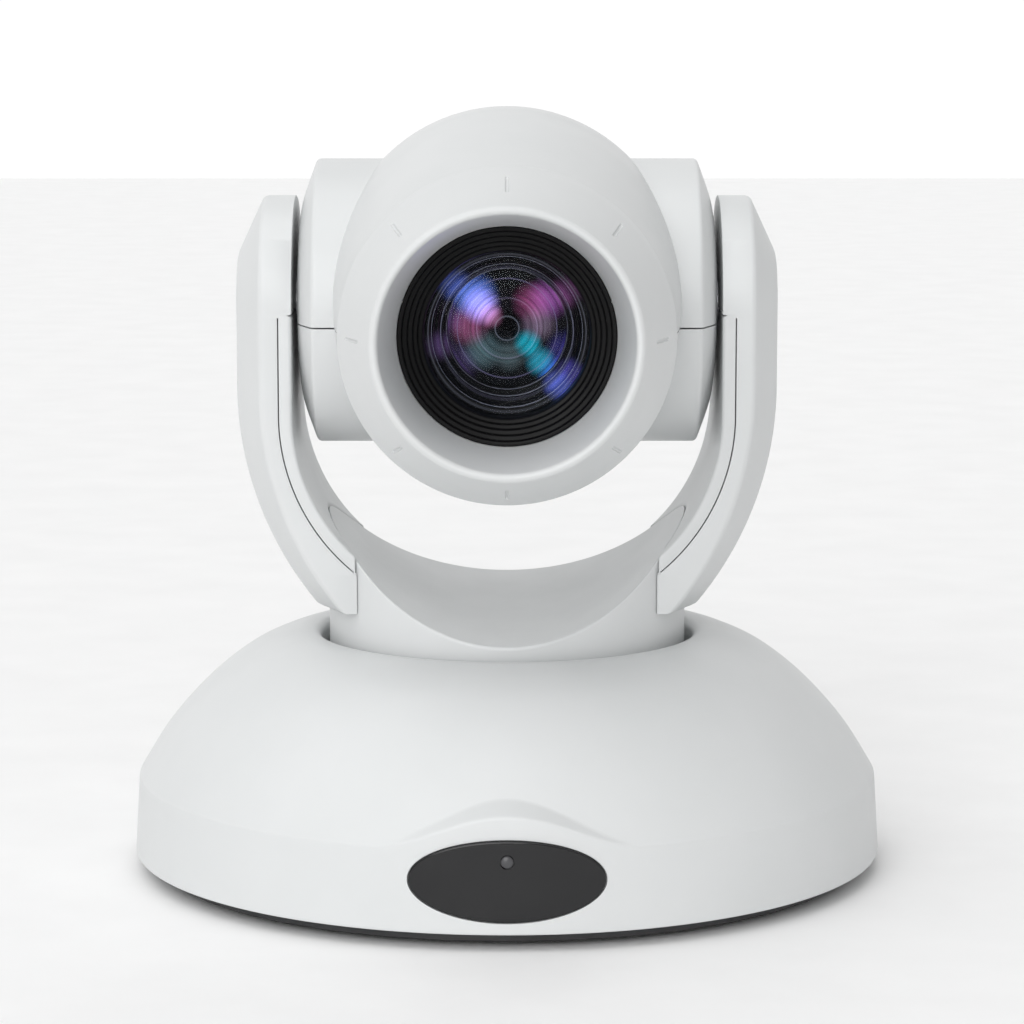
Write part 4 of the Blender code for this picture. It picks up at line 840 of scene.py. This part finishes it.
def make_bezel():
    spigot = 36.9
    points = [(spigot - 2, -61.0), (spigot, -61.0), (spigot, -66.4), (BEZEL_R - 0.6, -66.4), (BEZEL_R, -67.2),
              (BEZEL_R, -68.4), (BEZEL_R - 1.0, -70.6), (HOOD_R + 1.2, BEZEL_FRONT + 0.7),
              (HOOD_R + 0.1, BEZEL_FRONT),
              (HOOD_R - 0.9, BEZEL_FRONT + 0.7), (HOOD_INNER_R, HOOD_INNER_Y),
              (HOOD_INNER_R, HOOD_INNER_Y + 3),
              (spigot - 2, HOOD_INNER_Y + 5)]
    profile = rounded(points, [0.3, 0.3, 0.3, 0.4, 0.5, 0.6, 1.2, 0.7, 0.7, 1.0, 0.3, 0, 0], 4, True)
    vertices, faces = turned(profile, "Y", 224, (0, 0, TILT_Z - LENS_DROP))
    bezel = piece("front_bezel_fine", vertices, faces, None, LOOKS["white_plastic"])
    slope = atan2(BEZEL_R - 1.0 - HOOD_R - 1.2, (-70.6) - (BEZEL_FRONT + 0.7))
    for k in range(NOTCH_COUNT):
        boolean(bezel, notch_tool(2 * pi * k / NOTCH_COUNT, slope))
    clean(bezel, 34)
    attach(bezel, "head")
    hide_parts("front_bezel")


def notch_tool(angle, slope):
    """A short groove along the hood's cone, a round-ended bar sunk a little into it."""
    middle_r, middle_y = 37.6, -78.7
    length, radius = 4.2, 0.5
    profile = [(0, -length - radius)]
    profile += [(radius * cos(a), -length - radius * sin(-a)) for a in (-1.2, -0.6, 0)]
    profile += [(radius, length)] + [(radius * cos(a), length + radius * sin(a)) for a in (0.6, 1.2)]
    profile += [(0, length + radius)]
    vertices, faces = turned(profile, "Z", 12)
    turn = Matrix.Rotation(angle, 4, "Y") @ Matrix.Translation((0, middle_y, middle_r)) @ Matrix.Rotation(
        slope - pi / 2, 4, "X")
    moved = [tuple(turn @ Vector(v)) for v in vertices]
    moved = [(x, y, z + TILT_Z - LENS_DROP) for x, y, z in moved]
    return piece("tool", moved, faces, None, None)


def make_optics():
    """The stepped black barrel with its retaining rings, the front glass and the coated glass behind it."""
    lip = HOOD_INNER_R - 0.15
    front = HOOD_INNER_Y
    steps = [(lip, front + 3.4), (lip, front + 0.2), (25.8, front + 0.3), (25.6, front + 1.5),
             (24.5, front + 1.7), (24.3, front + 2.6), (23.2, front + 2.8), (23.0, front + 3.8),
             (22.0, front + 4.0), (21.8, front + 4.8),
             (GLASS_R + 0.5, front + 5.0), (GLASS_R + 0.15, front + 6.2), (GLASS_R + 0.15, GLASS_Y + 5.5),
             (19.0, GLASS_Y + 5.5), (18.7, -55.2), (18.2, -54.8), (18.0, -52.4), (17.2, -52.0), (17.0, -49.8),
             (16.6, -49.4), (16.4, -47.4), (15.4, -47.0), (15.2, -45.2), (15.0, -44.6),
             (15.0, 12.0), (18.0, 12.0),
             (18.0, -30.0), (23.5, -30.0), (23.5, front + 4)]
    radii = [0, 0.2] + [0.3] * 9 + [0.1, 0, 0.2] + [0.18] * 9 + [0] * 6
    profile = rounded(steps, radii, 3, True)
    vertices, faces = turned(profile, "Y", 160, (0, 0, TILT_Z - LENS_DROP))
    piece("lens_barrel_fine", vertices, faces, "head", BAFFLE, ("lens_barrel",), sharp=25)
    for number, (radius, y, wire) in enumerate(RETAINERS, 1):
        ring = [(radius + wire * cos(radians(a)), y + wire * sin(radians(a))) for a in range(0, 360, 30)]
        vertices, faces = turned(ring, "Y", 128, (0, 0, TILT_Z - LENS_DROP))
        piece(f"retaining_lip_{number}", vertices, faces, "head", LIP)

    # the front glass and the coated element carry painted coloured reflections, given off as glow
    glass_face = glass_profile(GLASS_R, GLASS_Y, 3.2, 2.2, 1.2)
    vertices, faces = turned(glass_face, "Y", 128, (0, 0, TILT_Z - LENS_DROP))
    piece("front_lens_fine", vertices, faces, "head", FRONT_PAINTED_REFLECTION_GLASS, ("front_lens",))
    coated = glass_profile(14.9, -45.9, 1.0, 1.0, 0.2)
    vertices, faces = turned(coated, "Y", 96, (0, 0, TILT_Z - LENS_DROP))
    piece("coated_element", vertices, faces, "head", PAINTED_REFLECTION_GLASS)
    seat = rounded([(9.8, -43.65), (9.8, -43.05), (14.9, -43.05), (14.9, -43.65)], [0.15] * 4, 3, True)
    vertices, faces = turned(seat, "Y", 96, (0, 0, TILT_Z - LENS_DROP))
    piece("element_seat", vertices, faces, "head", BAFFLE, sharp=25)


# radius, place along the lens and thickness of the bright turned lips, millimetres
RETAINERS = [(18.75, -55.5, 0.12), (16.55, -49.75, 0.12), (15.15, -46.6, 0.1)]


def glass_profile(radius, front, thickness, bulge, back_bulge):
    """(radius, y) of a lens from its front pole round to its back pole."""
    count = 14
    face = [(radius * i / count, front + bulge * ((i / count) ** 2)) for i in range(count + 1)]
    rim_back = front + bulge + thickness
    back = [(radius * i / count, rim_back + back_bulge * (1 - (i / count) ** 2))
            for i in range(count, -1, -1)]
    return face + back


# ---------------------------------------------------------------- stage

WORLD_LIGHT = 0.56
WORLD_FALL = 0.12
# name, height angle and turn to the left of the front in degrees, strength, spread in degrees
LIGHTS = [
    ("key_light", 22, 14, 1.28, 45),
    ("top_light", 72, 60, 0.9, 60),
]


def make_world():
    """White behind the object, softer elsewhere and dimmest to the right."""
    world = bpy.data.worlds.new("studio")
    bpy.context.scene.world = world
    world.use_nodes = True
    tree = world.node_tree
    place = tree.nodes.new("ShaderNodeTexCoord")
    axes = tree.nodes.new("ShaderNodeSeparateXYZ")
    tree.links.new(place.outputs["Generated"], axes.inputs[0])
    behind = spread(tree, axes.outputs["Y"], WORLD_LIGHT, 1.02, 0.5, 0.93)
    right = spread(tree, axes.outputs["X"], 0.0, -WORLD_FALL, 0.15, 0.9)
    total = tree.nodes.new("ShaderNodeMath")
    tree.links.new(behind, total.inputs[0])
    tree.links.new(right, total.inputs[1])
    tree.links.new(total.outputs[0], tree.nodes["Background"].inputs["Strength"])
    tree.nodes["Background"].inputs["Color"].default_value = (1.0, 1.0, 1.0, 1)


def make_stage():
    bpy.ops.mesh.primitive_plane_add(size=6.0, location=(0, 1.0, 0))
    floor = bpy.context.object
    floor.name = "floor"
    look = grained("pale_floor", (0.90, 0.90, 0.90), (0.93, 0.93, 0.93), (0.6, 0.7), 200.0, 0.05)
    floor.data.materials.append(look)
    make_world()
    for name, height, turn, power, spread_angle in LIGHTS:
        data = bpy.data.lights.new(name, "SUN")
        data.angle = radians(spread_angle)
        data.energy = power
        lamp = bpy.data.objects.new(name, data)
        lamp.rotation_euler = (radians(90 - height), 0, radians(-turn))
        bpy.context.scene.collection.objects.link(lamp)
    bpy.context.scene.view_settings.view_transform = "Standard"


def make_camera():
    data = bpy.data.cameras.new("camera")
    data.sensor_width = 36.0
    data.lens = 122.11
    camera = bpy.data.objects.new("camera", data)
    camera.location = (0, (PAN_Y - 913.28) * MM, 0.223115)
    camera.rotation_euler = (radians(90) - 0.1412, 0, -0.00144)
    bpy.context.scene.collection.objects.link(camera)
    bpy.context.scene.camera = camera


make_camera()
make_stage()
dress_frame()
make_base_shell()
make_window()
make_cradle()
make_arms()
make_head_shells()
make_bezel()
make_optics()
